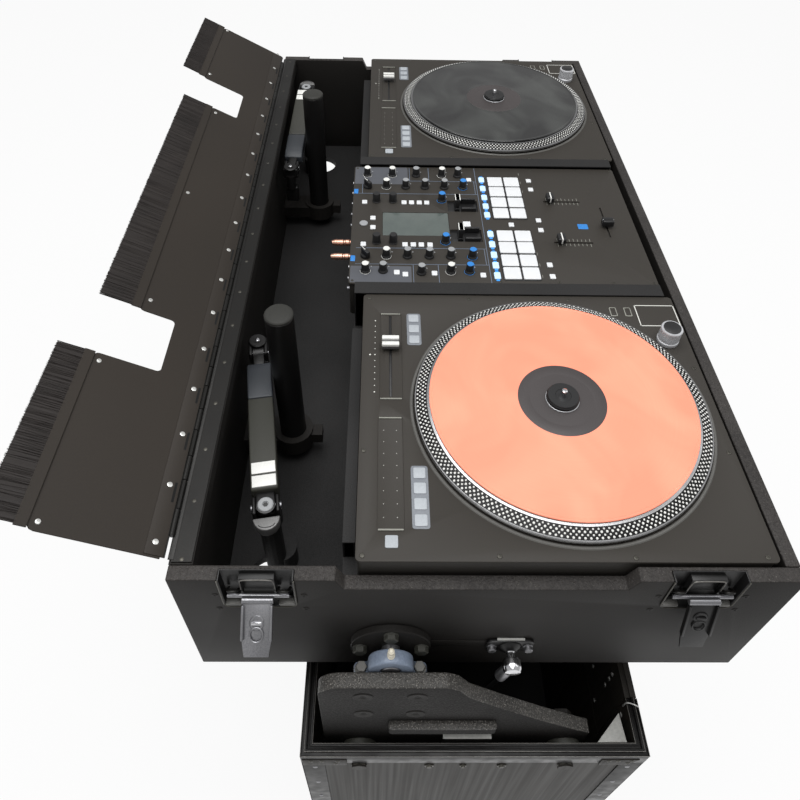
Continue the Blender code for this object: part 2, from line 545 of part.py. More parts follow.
def turntable(name, centre, shell, metal, vinyl):
    low_x, high_x = centre - DECK_WIDTH / 2, centre + DECK_WIDTH / 2
    chassis = plate(rounded(low_x, high_x, DECK_FRONT, DECK_REAR, 5), "z", SHELF_TOP + GAP, DECK_TOP)
    slot = block((centre + 14, 89.5, DECK_TOP - 12), (centre + 145, 93.5, DECK_TOP + 5))
    strip = plate(rounded(centre - 152, centre - 16, 80, 105, 3), "z", DECK_TOP - 1.5, DECK_TOP + 5)
    spindle_well = rod((centre, PLATTER_Y, DECK_TOP - 8), (centre, PLATTER_Y, DECK_TOP + 5), 12.6, 24)
    pads = [block((centre + u - 6.5, v - 6.5, DECK_TOP - 2), (centre + u + 6.5, v + 6.5, DECK_TOP + 1.5))
            for u, v in [(139 - 18.3 * i, 61.7) for i in range(3)] + [(-88 - 18 * i, 62) for i in range(4)]
            + [(-164.5, 91.6)]]
    keys = [block((centre + 151, v - 7, DECK_TOP - 2), (centre + 159, v + 7, DECK_TOP + 1))
            for v in (-200, -219)]
    part(f"deck_chassis_{name}", shell, [chassis, gathered(pads + keys)], [slot, strip, spindle_well])

    def upright(low, high, radius, count, end_radius=None):
        return rod((centre, PLATTER_Y, low), (centre, PLATTER_Y, high), radius, count, end_radius)

    plinth = upright(DECK_TOP + 1.2, PLATTER_TOP - 4, PLATTER_RADIUS, 40)
    rim = upright(PLATTER_TOP - 5, PLATTER_TOP, PLATTER_RADIUS, 40, PLATTER_RADIUS - 5)
    journal = upright(DECK_TOP - 7, DECK_TOP + 2, 12, 24)
    part(f"platter_{name}", metal, [plinth, rim, journal], origin=(centre, PLATTER_Y, DECK_TOP), smooth=True)

    disc = upright(PLATTER_TOP + GAP, RECORD_TOP, RECORD_RADIUS, 48)
    puck = upright(RECORD_TOP - 1, RECORD_TOP + 8, PUCK_RADIUS, 20, PUCK_RADIUS - 3)
    pin = upright(RECORD_TOP + 7, RECORD_TOP + 17, 3.6, 10)
    part(f"record_{name}", vinyl, [disc, puck, pin], origin=(centre, PLATTER_Y, RECORD_TOP), smooth=True)

    fader_x = centre + 90.5
    cap = block((fader_x - 8, 81, DECK_TOP + 4), (fader_x + 8, 102, DECK_TOP + 13))
    stem = block((fader_x - 3, 90.4, DECK_TOP - 8), (fader_x + 3, 92.6, DECK_TOP + 5))
    part(f"pitch_fader_{name}", metal, [cap, stem], origin=(fader_x, 91.5, DECK_TOP + 4))

    knob_x, knob_y = centre + 104.6, -256.0
    barrel = rod((knob_x, knob_y, DECK_TOP + GAP), (knob_x, knob_y, DECK_TOP + 20), 13.5, 24)
    crown = rod((knob_x, knob_y, DECK_TOP + 19), (knob_x, knob_y, DECK_TOP + 25), 12, 32, end_radius=11)
    part(f"deck_knob_{name}", metal, [barrel, crown], origin=(knob_x, knob_y, DECK_TOP), smooth=True)


def mixer_knobs():
    """Knob rows across the mixer: X of the row, and the Y of each knob."""
    rows = []
    for side in (-1, 1):
        rows.append((side * 117.5, (126, 87, 48, 7, -19)))
        rows.append((side * 84.3, (126, 96.5, 66, 35.5, 5, -25)))
        rows.append((side * 48.0, (111, 86.5)))
        rows.append((side * 51.0, (10.7,)))
    return rows


def mixer(shell, black):
    chassis = plate(rounded(-MIXER_HALF, MIXER_HALF, MIXER_FRONT, MIXER_REAR, 4), "z",
                    SHELF_TOP + GAP, MIXER_TOP)
    knobs = [rod((x, y, MIXER_TOP - 2), (x, y, MIXER_TOP + 15), 6.6, 8, end_radius=5.6)
             for x, ys in mixer_knobs() for y in ys]
    pads = [block((x - 11, y - 10.5, MIXER_TOP - 2), (x + 11, y + 10.5, MIXER_TOP + 2.5))
            for start in (100, -38) for x in [start - 27.5 * i for i in range(4)] for y in (-76, -102)]
    modes = [block((x - 8, -61, MIXER_TOP - 2), (x + 8, -52.5, MIXER_TOP + 1.5))
             for start in (105.8, -33.4) for x in [start - 23 * i for i in range(5)]]
    faders = [block((x - 2, -205, MIXER_TOP - 12), (x + 2, -148, MIXER_TOP + 5)) for x in (-50, 50)]
    cross = block((-36, -235.5, MIXER_TOP - 12), (36, -231.5, MIXER_TOP + 5))
    recesses = [block((x - 14, -44, MIXER_TOP - 6), (x + 14, 2, MIXER_TOP + 5)) for x in (-36, 36)]
    screen = block((-37.5, 2.5, MIXER_TOP - 1.2), (18.5, 102.5, MIXER_TOP + 5))
    plugs = [rod((x, MIXER_REAR - 3, 905), (x, MIXER_REAR + 30, 905), 5, 14) for x in (-27.7, -59.8)]
    part("mixer_chassis", shell, [chassis, gathered(knobs), gathered(pads + modes), gathered(plugs)],
         [gathered([*faders, cross]), gathered(recesses), screen])
    for name, x in (("left", -50), ("right", 50)):
        cap = block((x - 8, -163, MIXER_TOP + 3), (x + 8, -151.5, MIXER_TOP + 12))
        stem = block((x - 1.2, -160, MIXER_TOP - 8), (x + 1.2, -154.5, MIXER_TOP + 4))
        part(f"channel_fader_{name}", black, [cap, stem], origin=(x, -157, MIXER_TOP + 3))
    cap = block((-16.5, -242, MIXER_TOP + 3), (-4.5, -225, MIXER_TOP + 13))
    stem = block((-13, -234.7, MIXER_TOP - 8), (-8, -232.3, MIXER_TOP + 4))
    part("crossfader", black, [cap, stem], origin=(-10.5, -233.5, MIXER_TOP + 3))
    for name, x in (("left", -36), ("right", 36)):
        hinge_z = MIXER_TOP - 1.0
        axle = rod((x - 11, -12, hinge_z), (x + 11, -12, hinge_z), 4.0, 16)
        blade = plate([(-14, hinge_z), (-10, hinge_z), (-7, hinge_z + 18), (-17, hinge_z + 18)],
                      "x", x - 9, x + 9)
        part(f"effect_paddle_{name}", black, [axle, blade], origin=(x, -12, hinge_z))


def monitor_arm(name, post, wrist_at, shoulder_z, black, grey):
    """A gas-spring arm folded down in the rear compartment: shoulder, arm and levelling wrist."""
    px, py = post
    centre, wrist = Vector((px, py, shoulder_z)), Vector(wrist_at)
    run = wrist - centre
    reach, pitch, yaw = run.length, math.asin(run.z / run.length), math.atan2(run.y, run.x)
    across = Vector((-math.sin(yaw), math.cos(yaw), 0))

    def swung(piece):
        return turned_about(piece, yaw, "Z", (px, py, 0))

    def laid(piece):
        return swung(turned_about(piece, -pitch, "Y", (px, py, shoulder_z)))

    cup = rod((px, py, shoulder_z - 29.5), (px, py, shoulder_z - 14.5), 16, 12)
    ears = []
    for side in (-1, 1):
        inside, outside = sorted((side * 10.8, side * 15))
        ears.append(swung(block((px - 12, py + inside, shoulder_z - 16), (px + 9.4, py + outside, shoulder_z + 9.4))))
    spigot_bore = rod((px, py, shoulder_z - 40), (px, py, shoulder_z - 19.5), 7.6, 14)
    pin_holes = rod(centre - across * 20, centre + across * 20, 4.6, 14)
    part(f"arm_shoulder_{name}", black, [cup, *ears], [spigot_bore, pin_holes], origin=(px, py, shoulder_z))

    profile = [(14, -12), (reach - 30, -11), (reach - 22, -6), (reach - 22, 6),
               (reach - 34, 11), (30, 15), (20, 12), (14, 6)]
    side_view = [(px + a, shoulder_z + b) for a, b in profile]
    shell = laid(plate(side_view, "y", py - ARM_WIDTH / 2, py + ARM_WIDTH / 2))
    root = laid(block((px - 10, py - 10.3, shoulder_z - 10), (px + 16, py + 10.3, shoulder_z + 10)))
    pin = rod(centre - across * 17, centre + across * 17, 4.0, 12)
    nose = laid(block((px + reach - 26, py - 7, shoulder_z - 5), (px + reach, py + 7, shoulder_z + 5)))
    knuckle = rod(wrist - across * 7.3, wrist + across * 7.3, 8.5, 16)
    bore = rod(wrist - across * 12, wrist + across * 12, 4.3, 14)
    part(f"gas_arm_{name}", grey, [shell, root, nose, knuckle, pin], [bore], origin=(px, py, shoulder_z))

    def beyond(distance, side, height):
        """A spot measured from the wrist, along the arm, across it and up."""
        along = Vector((math.cos(yaw), math.sin(yaw), 0))
        return tuple(wrist + along * distance + across * side + Vector((0, 0, height)))

    def set_square(low, high):
        middle = [(a + b) / 2 for a, b in zip(low, high)]
        half = [(b - a) / 2 for a, b in zip(low, high)]
        spot = Vector(beyond(*middle))
        box = block(tuple(spot - Vector(half)), tuple(spot + Vector(half)))
        return turned_about(box, yaw, "Z", spot)

    axle = rod(wrist - across * 13, wrist + across * 13, 3.7, 12)
    cheeks = [set_square((-8, side - 2.3, -9), (14, side + 2.3, 9)) for side in (-10, 10)]
    bridge = set_square((10, -12.3, -9), (20, 12.3, 9))
    swivel = rod(beyond(17, 0, -4), beyond(17, 0, -30), 8, 12)
    bolt = rod(beyond(15, 0, 8), beyond(15, 0, 12.5), 5, 6)
    head = set_square((8, -11, -58), (20, 11, -28))
    part(f"arm_wrist_{name}", black, [bridge, *cheeks, axle, swivel, bolt, head], origin=wrist_at)


def poles(black):
    for name, sign in sides():
        foot = (sign * POLE_X, POLE_Y, POLE_BOTTOM)
        top = (sign * POLE_X, POLE_Y, POLE_TOP)
        part(f"pole_{name}", black, [rod(foot, top, POLE_RADIUS, 20)], origin=foot, smooth=True)


def main():
    clear_scene()
    ply = material("coated_plywood", (0.018, 0.018, 0.018), 0.7)
    coated = material("textured_coat", (0.024, 0.024, 0.024), 0.8)
    rim_metal = material("black_extrusion", (0.02, 0.02, 0.02), 0.35, 0.6)
    sheet = material("flap_sheet", (0.035, 0.034, 0.03), 0.6, 0.3)
    steel = material("latch_steel", (0.3, 0.3, 0.3), 0.35, 1.0)
    rubber = material("rubber", (0.02, 0.02, 0.02), 0.8)
    casting = material("bearing_casting", (0.28, 0.31, 0.36), 0.5, 0.4)
    chrome = material("chrome", (0.7, 0.7, 0.7), 0.15, 1.0)
    bristle = material("bristle", (0.012, 0.012, 0.012), 0.9)
    deck_shell = material("deck_shell", (0.03, 0.031, 0.03), 0.5, 0.2)
    platter_metal = material("platter_metal", (0.35, 0.35, 0.35), 0.3, 1.0)
    pink_vinyl = material("pink_vinyl", (1.0, 0.42, 0.3), 0.4)
    black_vinyl = material("black_vinyl", (0.01, 0.01, 0.01), 0.2)
    black = material("black_plastic", (0.015, 0.015, 0.015), 0.5)
    grey = material("arm_grey", (0.05, 0.052, 0.052), 0.5)

    base_case(ply, rim_metal)
    front_door(ply)
    castor_wheels(rubber)
    console_tray(ply)
    for name, sign in sides():
        pivot_arm(name, sign, coated)
        pillow_bearing(name, sign, casting)
        pivot_hub(name, sign, coated)
        gas_strut(name, sign, black, chrome)
    latch_levers(steel)
    rear_flap(sheet, bristle, rim_metal)
    turntable("left", -DECK_X, deck_shell, platter_metal, pink_vinyl)
    turntable("right", DECK_X, deck_shell, platter_metal, black_vinyl)
    mixer(deck_shell, black)
    monitor_arm("left", LEFT_POST, LEFT_WRIST, LEFT_SHOULDER_Z, black, grey)
    monitor_arm("right", RIGHT_POST, RIGHT_WRIST, RIGHT_SHOULDER_Z, black, grey)
    poles(black)
    for item in bpy.data.objects:
        item.location.y -= FRAME_SHIFT * MM


main()
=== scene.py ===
"""Dresses a flip-up DJ console case: finishes, decks, mixer, latches, flap, arms and the base's trim.

Shapes are drawn in millimetres from the middle of the console tray: X along the console, +Y to its rear,
Z up from the floor. In the frame that middle stands at Y = CONSOLE_Y.
"""
import math
import random

import bpy
from bpy.props import FloatProperty, FloatVectorProperty, IntProperty, PointerProperty
from mathutils import Matrix, Vector


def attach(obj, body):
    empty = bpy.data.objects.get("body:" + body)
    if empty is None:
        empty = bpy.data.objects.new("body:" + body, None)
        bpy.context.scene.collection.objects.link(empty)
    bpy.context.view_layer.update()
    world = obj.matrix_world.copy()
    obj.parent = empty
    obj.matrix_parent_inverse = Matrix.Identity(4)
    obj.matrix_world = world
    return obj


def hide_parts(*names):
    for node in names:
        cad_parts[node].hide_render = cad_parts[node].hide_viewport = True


bl_info = {
    "name": "DJ console case",
    "version": (1, 0, 0),
    "blender": (4, 5, 0),
    "location": "3D View > Sidebar > Console case",
    "description": "Builds the looks of a flip-up DJ console case on its packed frame",
    "category": "Add Mesh",
}

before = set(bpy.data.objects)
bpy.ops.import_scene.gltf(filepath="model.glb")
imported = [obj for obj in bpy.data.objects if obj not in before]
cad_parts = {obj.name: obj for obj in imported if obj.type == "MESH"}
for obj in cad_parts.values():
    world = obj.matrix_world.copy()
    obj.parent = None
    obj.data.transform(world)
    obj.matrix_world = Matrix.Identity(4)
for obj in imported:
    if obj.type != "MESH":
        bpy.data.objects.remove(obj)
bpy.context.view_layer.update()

MM = 0.001
CONSOLE_Y = -75.5
ENDS = (("left", -1), ("right", 1))
UP, REARWARD = (0, 0, 1), (0, 1, 0)

# Console tray
HALF_LENGTH, HALF_DEPTH, PANEL = 550.0, 304.0, 15.0
TRAY_BOTTOM, TRAY_TOP, BAND_TOP, HUMP_START = 711.0, 925.0, 906.0, 145.0
LATCH_ROWS = (("rear", 220.0), ("front", -213.0))
DISH_HALF, DISH_BOTTOM, DISH_DEPTH = 36.0, 868.0, 11.0
SHELF_TOP = 868.0
RAIL_FRONT, RAIL_REAR, REST_REAR = -275.0, 139.0, 141.0

# Latch levers: length and how far each hangs out
LEVERS = {"rear": (52.0, math.radians(50)), "front": (65.0, math.radians(17))}
LEVER_STEELS = {"rear": ("satin chrome", "polished chrome"), "front": ("black steel", "black steel")}
LEVER_PIN_Z = 894.0

# Decks, platters and records
DECK_X, DECK_WIDTH, DECK_FRONT, DECK_REAR, DECK_TOP = 349.3, 368.0, -283.4, 126.6, 930.0
PLATTER_Y, RECORD_TOP = -102.2, 944.3
WELL_RADIUS = 168.6
STROBE_OUTER, STROBE_INNER, STROBE_FOOT, STROBE_HEAD = 165.2, 153.4, 6.6, 10.8
STROBE_RINGS = ((163.5, 1.35, 0.0), (160.7, 1.15, 0.5), (157.9, 1.4, 0.0), (155.2, 1.1, 0.5))
DECK_PAD_ROWS = ((61.7, (139.0, 120.7, 102.4)), (62.0, (-88.0, -106.0, -124.0, -142.0)))
DECK_SCREWS = ((-178.3, 119.9), (-178.6, -12.2), (-179.7, -143.6), (176.9, -13.0), (176.8, -144.6),
               (177.0, 119.0), (-178.8, -272.0), (60.0, -276.0), (-60.0, -276.0), (-60.0, 121.0))
DECK_KNOB = (104.6, -256.0)

# Mixer
MIXER_HALF, MIXER_FRONT, MIXER_REAR, MIXER_TOP = 141.5, -276.5, 148.0, 928.0
FADER_X, PADDLE_X = 50.0, 36.0
ROUND_KNOBS = (
    (117.5, 126.8, "cap white"), (117.5, 86.8, "cap white"), (117.5, 48.5, "cap grey"),
    (117.5, 6.9, "cap white"), (117.5, -18.8, "cap grey"), (84.3, 96.4, "cap white"),
    (84.3, 65.8, "cap grey"), (84.3, 35.4, "cap grey"), (84.3, 4.7, "cap grey"), (84.3, -24.8, "cap blue"),
    (49.6, 10.7, "cap blue"), (-51.9, 10.8, "cap blue"),
    (-84.5, 96.5, "cap white"), (-84.5, 66.7, "cap grey"), (-84.5, 35.7, "cap grey"), (-84.5, 5.3, "cap grey"),
    (-84.5, -25.5, "cap blue"), (-116.2, 125.6, "cap white"), (-115.8, 101.1, "cap grey"),
    (-119, 48.1, "cap grey"), (-116.4, 7.4, "cap white"), (-115.9, -18.8, "cap blue"),
)
BLACK_KNOBS = ((46.5, 111.7), (46.5, 86.4), (-53.4, 110.7), (-53.4, 86.5))
POINTER_KNOBS = ((84.3, 126.0), (-84.5, 126.3))
SMALL_KEYS = (
    (105.4, -36.3), (42.5, 129.9), (42.5, 69.1), (42.5, 57.5), (42.5, 45.6), (42.5, 34.0), (2.4, 116.6),
    (-20.1, 116.3), (-59.3, 129.7), (-59.4, 69.5), (-59.4, 57.6), (-59.4, 46.0), (-59.4, 33.4),
    (-119.6, 82.1), (-123.5, 70.3), (-120.8, 30.0), (-123.8, -37.1), (-10.6, -90.4), (104.6, -132.8),
    (80.5, -132.8), (0.7, -132.8), (-22.7, -132.8), (-100.9, -132.8), (-125.2, -132.8),
)
MODE_KEYS = (105.8, 81.7, 57.7, 35.0, 13.0, -33.4, -57.0, -80.3, -102.9, -124.3)
PAD_COLUMNS = (99.6, 72.6, 44.7, 16.9, -38.0, -64.5, -92.7, -119.8)
LINES_UP = (101.5, 66.5, -66.5, -101.5)
LINES_ACROSS = ((66.5, 101.5, -44), (-101.5, -66.5, -44), (101.5, 139, 59), (101.5, 139, 28),
                (-139, -101.5, 59), (-139, -101.5, 24), (-139.5, 139.5, -47.5), (66.5, 101.5, 134))

# Rear flap
FLAP_Y, FLAP_Z, FLAP_RISE, FLAP_HALF, FLAP_PITCH, SHEET_HALF = 306.0, 929.3, 28.0, 533.0, 61.8, 0.8
SIDE_REACH, MIDDLE_REACH, CUTOUT_REACH, CUTOUT_INNER, CUTOUT_OUTER = 128.0, 99.0, 54.5, 243.0, 323.0
HOLDER_SCREWS = ((-334, 120), (-524, 119), (-224, 90), (0, 90), (230, 90), (341, 121), (527, 120))
BRUSHES = (("left", -FLAP_HALF, -CUTOUT_OUTER, SIDE_REACH, 40.0),
           ("middle", -CUTOUT_INNER, CUTOUT_INNER, MIDDLE_REACH, 49.0),
           ("right", CUTOUT_OUTER, FLAP_HALF, SIDE_REACH, 40.0))

# Pivots and gas struts
PIVOT_Y, PIVOT_Z = 90.0, 781.0
ARM_INNER, ARM_OUTER = 583.5, 599.5
ARM_OUTLINE = ((30, 784), (17, 775), (4, 752), (-33, 718), (-88, 671), (-136, 634), (-150, 625))
STRUT_X, STRUT_FOOT, STRUT_HEAD = 573.0, (60.0, 401.0), (-40.0, 772.0)

# Base case
BASE_HALF, BASE_FRONT, BASE_REAR, BASE_BOTTOM, RIM_TOP, RIM_LOW = 621.5, -215.8, 191.8, 155.0, 620.0, 594.0
DOOR_HALF, WALL, ANGLE_WIDTH = 561.0, 12.0, 26.0
WALL_BOLTS = ((124.5, 581, 9.5), (-124.5, 581, 9.5), (40, 578, 6), (-1, 578, 4.5), (-48, 578, 6))
DOOR_STUDS = (("front_door", 523, 588), ("front_door", 523, 572), ("front_door", 523, 548),
              ("front_door", 523, 482), ("front_door", 487, 509), ("base", 570, 588), ("base", 570, 574),
              ("base", 570, 552), ("base", 570, 482))
DOOR_WIRE = ((567, -201, 612), (567, -201, 620), (567, -203, 625.5), (568, -207, 626.5), (570, -212, 626),
             (571, -216, 623.5))
CASTORS = ((-520.0, -156.0), (-520.0, 100.0), (520.0, -156.0), (520.0, 100.0))
WHEEL_RADIUS = 62.5

# Poles and monitor arms
POLE_X, POLE_Y, POLE_RADIUS, POLE_FOOT, POLE_TOP = 264.5, 223.0, 17.3, 738.0, 993.0
ARMS = {
    "left": {"post": (-443.0, 228.0), "wrist": (-221.0, 265.0, 872.0), "height": 870.0},
    "right": {"post": (443.0, 254.0), "wrist": (208.0, 262.0, 880.0), "height": 902.0},
}

# Lamps: place, size and power; None takes the user's lamp strength
LAMPS = (((-0.3, 0.2, 3.4), 2.4, None), ((0.2, -2.4, 2.8), 2.0, 12.0), ((-2.8, 1.4, 1.6), 1.6, 2.5))
LAMP_AIM = (0.0, -0.05, 0.9)
SKY_STRENGTH = 0.5

# Camera, fitted to both record rims and the decks' corners
CAMERA_PLACE = (-838.4, 105.7, 1572.1)
CAMERA_YAW, CAMERA_PITCH, CAMERA_ROLL = (math.radians(a) for a in (-1.27, 44.03, -1.44))
CAMERA_FOCAL, CAMERA_CENTRE, IMAGE_SIZE, SENSOR = 699.46, (390.54, 299.26), 800.0, 36.0

# Finishes: name, colour, second colour, roughness, relief, then metallic, grain scale, patch scale,
# relief depth and gloss where they differ from the usual ones
COATS = (
    ("rough coat", (38, 36, 35), (27, 26, 25), (0.55, 0.75), 0.7, 0.0, 500.0, 9.0, 0.6, 0.2),
    # painted light: a lighter copy of the rough coat for the faces that look up, where the light falls
    ("bright coat", (66, 64, 61), (44, 43, 41), (0.4, 0.6), 0.9, 0.0, 420.0, 14.0, 1.0, 0.4),
    # painted light and shade: a lighter copy of the panel coat for the tray's tops, toned down for the shade
    # the console casts on them
    ("edge coat", (58, 55, 53), (42, 40, 39), (0.5, 0.7), 0.9, 0.0, 420.0, 10.0, 0.8, 0.3),
    ("panel coat", (40, 38, 36), (30, 29, 28), (0.5, 0.68), 0.3, 0.0, 900.0, 6.0, 0.3, 0.18),
    ("inner coat", (36, 35, 35), (26, 26, 26), (0.6, 0.8), 0.4, 0.0, 900.0, 7.0, 0.3, 0.4),
    ("foam", (24, 24, 27), (18, 18, 20), (0.85, 0.95), 0.5, 0.0, 1500.0, 30.0, 0.4, 0.08),
    ("flap sheet", (49, 44, 39), (42, 38, 34), (0.5, 0.62), 0.18, 0.0, 1400.0, 4.0, 0.12, 0.25),
    # painted highlight: the light lines along the rim channel's ridges and the latches' catch plates
    ("rim edge", (112, 110, 106), (84, 82, 79), (0.3, 0.45), 0.05, 0.4, 300.0),
    ("strobe dot", (226, 226, 222), (196, 196, 192), (0.3, 0.4), 0.02),
    ("black steel", (32, 31, 31), (24, 24, 24), (0.32, 0.45), 0.12, 0.3),
    ("hinge steel", (34, 33, 31), (24, 23, 22), (0.35, 0.5), 0.1, 0.5),
    ("zone blue grey", (80, 82, 88), (72, 74, 79), (0.5, 0.6), 0.15, 0.0, 1600.0, 14.0, 0.1),
    ("thin line", (104, 115, 132), (92, 102, 118), (0.5, 0.6), 0.02),
    ("print white", (214, 214, 208), (200, 200, 194), (0.5, 0.6), 0.02),
    ("print grey", (138, 138, 130), (120, 120, 113), (0.5, 0.6), 0.02),
    ("black plastic", (30, 30, 31), (21, 21, 22), (0.34, 0.48), 0.08, 0.0, 1800.0),
    ("knob rubber", (27, 27, 28), (20, 20, 21), (0.5, 0.65), 0.15, 0.0, 1800.0),
    ("cap white", (226, 226, 222), (208, 208, 204), (0.35, 0.45), 0.03),
    ("cap grey", (150, 152, 154), (132, 134, 136), (0.35, 0.45), 0.03),
    ("key frame", (120, 124, 130), (104, 108, 114), (0.5, 0.6), 0.05),
    ("screen", (88, 95, 92), (80, 87, 85), (0.12, 0.2), 0.02, 0.0, 60.0, 8.0),
    ("satin chrome", (150, 150, 152), (122, 122, 126), (0.26, 0.42), 0.08, 0.9, 700.0),
    ("polished chrome", (222, 222, 224), (190, 190, 194), (0.07, 0.16), 0.02, 1.0, 200.0),
    ("pole cap", (54, 54, 51), (46, 46, 44), (0.5, 0.62), 0.08, 0.0, 900.0, 14.0, 0.2, 0.25),
    ("deck pad", (166, 171, 176), (152, 157, 162), (0.45, 0.55), 0.05),
    ("knob silver", (206, 207, 210), (172, 173, 176), (0.25, 0.35), 0.02, 0.3),
    ("screw white", (228, 228, 224), (190, 190, 188), (0.2, 0.35), 0.02, 0.7),
    ("dark screw", (86, 84, 78), (60, 59, 55), (0.35, 0.5), 0.05, 0.7),
    ("nipple metal", (232, 226, 210), (196, 188, 168), (0.22, 0.36), 0.04, 0.2),
    ("copper plug", (214, 170, 150), (170, 120, 100), (0.22, 0.4), 0.04, 0.9, 300.0),
    ("bearing paint", (126, 138, 156), (104, 114, 130), (0.35, 0.5), 0.25, 0.1, 400.0, 14.0, 0.25),
    ("arm paint", (56, 56, 51), (48, 48, 44), (0.42, 0.55), 0.1, 0.0, 1500.0, 5.0, 0.2, 0.4),
    ("arm paint cool", (56, 59, 63), (48, 51, 55), (0.42, 0.55), 0.1, 0.0, 1500.0, 5.0, 0.2, 0.4),
    ("arm cover", (112, 111, 110), (92, 92, 92), (0.4, 0.5), 0.08, 0.3),
    ("tyre", (38, 38, 38), (28, 28, 28), (0.7, 0.85), 0.3, 0.0, 600.0),
    ("wheel core", (120, 128, 140), (100, 106, 116), (0.4, 0.55), 0.1),
    ("gusset", (176, 176, 172), (152, 152, 148), (0.4, 0.6), 0.1, 0.0, 300.0),
    ("platter metal", (176, 176, 176), (140, 140, 142), (0.18, 0.32), 0.05, 1.0, 500.0),
    ("platter black", (18, 18, 18), (12, 12, 12), (0.3, 0.45), 0.05, 0.0, 900.0, 14.0, 0.2, 0.2),
    ("well ring", (100, 99, 96), (84, 83, 80), (0.4, 0.5), 0.05, 0.3),
    ("label paper", (66, 61, 61), (56, 52, 52), (0.45, 0.6), 0.05),
    ("felt", (20, 20, 20), (12, 12, 12), (0.95, 1.0), 0.4, 0.0, 2500.0),
)
# Painted glints: light specks on the coats' peaks that stand in for glints of light, given as scale, cover and
# colour
GLINT_SPECKS = {
    "rough coat": (420.0, 0.35, (88, 85, 81)), "bright coat": (520.0, 0.75, (156, 152, 146)),
    "edge coat": (560.0, 0.45, (104, 101, 96)), "panel coat": (900.0, 0.1, (70, 68, 64)),
    "inner coat": (800.0, 0.1, (90, 88, 84)),
}
# Streaked sheets: colour, second colour, roughness, metallic and the stretch of the streaks
STREAKED = (
    ("laminate", (47, 44, 40), (36, 34, 31), (0.5, 0.62), 0.0, (3.0, 3.0, 0.04)),
    ("bristle", (26, 23, 22), (47, 43, 41), (0.5, 0.7), 0.0, (14.0, 0.4, 0.4)),
    ("black extrusion", (26, 25, 24), (18, 17, 17), (0.28, 0.42), 0.3, (0.03, 1.0, 1.0)),
)
# Frame nodes that keep their own shapes
KEPT_FINISHES = {
    "inner coat": ("base_floor", "console_floor", "deck_shelf"),
    "laminate": ("base_rear_wall", "base_end_wall_left", "base_end_wall_right", "base_front_wall",
                 "front_door"),
    "panel coat": ("console_rear_panel",),
    "hinge steel": ("flap_hinge_leaf",),
}


def shade(red, green, blue):
    """A screen colour, 0 to 255, as the linear colour that shaders use."""
    return tuple((c / 255) ** 2.2 for c in (red, green, blue))


class ConsoleCaseSettings(bpy.types.PropertyGroup):
    """Sizes and colours that a user would change."""
    record_left: FloatVectorProperty(
        name="Left record", description="Colour of the left deck's record", subtype="COLOR", size=3,
        min=0.0, max=1.0, default=shade(255, 150, 122))
    record_right: FloatVectorProperty(
        name="Right record", description="Colour of the right deck's record", subtype="COLOR", size=3,
        min=0.0, max=1.0, default=shade(18, 18, 19))
    accent: FloatVectorProperty(
        name="Accent", description="Colour of the tinted knobs, lamps and plates", subtype="COLOR", size=3,
        min=0.0, max=1.0, default=shade(48, 128, 206))
    shell: FloatVectorProperty(
        name="Housing", description="Colour of the decks' and the mixer's housings", subtype="COLOR", size=3,
        min=0.0, max=1.0, default=shade(56, 53, 49))
    pad: FloatVectorProperty(
        name="Pads", description="Colour of the rubber pads and keys", subtype="COLOR", size=3,
        min=0.0, max=1.0, default=shade(214, 216, 218))
    knob_height: FloatProperty(
        name="Knob height", description="Height of the mixer's rotary knobs", default=15 * MM, min=8 * MM,
        max=15 * MM, unit="LENGTH")
    pad_rise: FloatProperty(
        name="Pad rise", description="How far the pads stand above the mixer's panel", default=2.4 * MM,
        min=1 * MM, max=2.5 * MM, unit="LENGTH")
    strobe_dots: IntProperty(
        name="Strobe dots", description="Dots in each ring on the platters' rims", default=180, min=60, max=240)
    bristle_tufts: IntProperty(
        name="Bristle tufts", description="Tufts of bristles along one metre of brush", default=380, min=60,
        max=600)
    lamp_strength: FloatProperty(
        name="Lamp strength", description="Power of the main soft lamp", default=74.0, min=0.0, max=500.0,
        unit="POWER")


def settings():
    return bpy.context.scene.console_case


def let_go():
    """Leave edit mode and deselect everything."""
    if bpy.context.mode != "OBJECT":
        bpy.ops.object.mode_set(mode="OBJECT")
    bpy.ops.object.select_all(action="DESELECT")


def hold(item):
    let_go()
    item.select_set(True)
    bpy.context.view_layer.objects.active = item


def at(spot, degrees=0.0, axis="Z"):
    """A place in millimetres, turned about one axis."""
    return Matrix.Translation(Vector(spot) * MM) @ Matrix.Rotation(math.radians(degrees), 4, axis)


def facing_out(sign, x, y, z):
    """A place at one end of the console where up becomes outwards."""
    return at((sign * x, y, z), 90 * sign, "Y")


HOME = Matrix.Translation((0.0, CONSOLE_Y * MM, 0.0))
FLAP_PLACE = HOME @ at((0.0, FLAP_Y, FLAP_Z), FLAP_RISE, "X")


def moved(item, matrix):
    """Place a piece and keep that place in its mesh."""
    hold(item)
    item.matrix_world = matrix
    bpy.ops.object.transform_apply(location=True, rotation=True, scale=True)
    return item


def softened(item, width, steps=2, angle=30.0):
    hold(item)
    step = item.modifiers.new("soft edges", "BEVEL")
    step.width = width * MM
    step.segments = steps
    step.limit_method = "ANGLE"
    step.angle_limit = math.radians(angle)
    bpy.ops.object.modifier_apply(modifier=step.name)
    return item


def outward(item):
    hold(item)
    bpy.ops.object.mode_set(mode="EDIT")
    bpy.ops.mesh.select_all(action="SELECT")
    bpy.ops.mesh.remove_doubles(threshold=1e-6)
    bpy.ops.mesh.normals_make_consistent(inside=False)
    bpy.ops.object.mode_set(mode="OBJECT")
    return item


def block(low, high, soft=0.6, steps=2):
    """A box between two corners, with soft edges."""
    let_go()
    low, high = Vector(low) * MM, Vector(high) * MM
    bpy.ops.mesh.primitive_cube_add(size=1.0, location=(low + high) / 2)
    item = bpy.context.object
    item.scale = [abs(a) for a in high - low]
    bpy.ops.object.transform_apply(location=True, rotation=True, scale=True)
    return softened(item, soft, steps) if soft else item


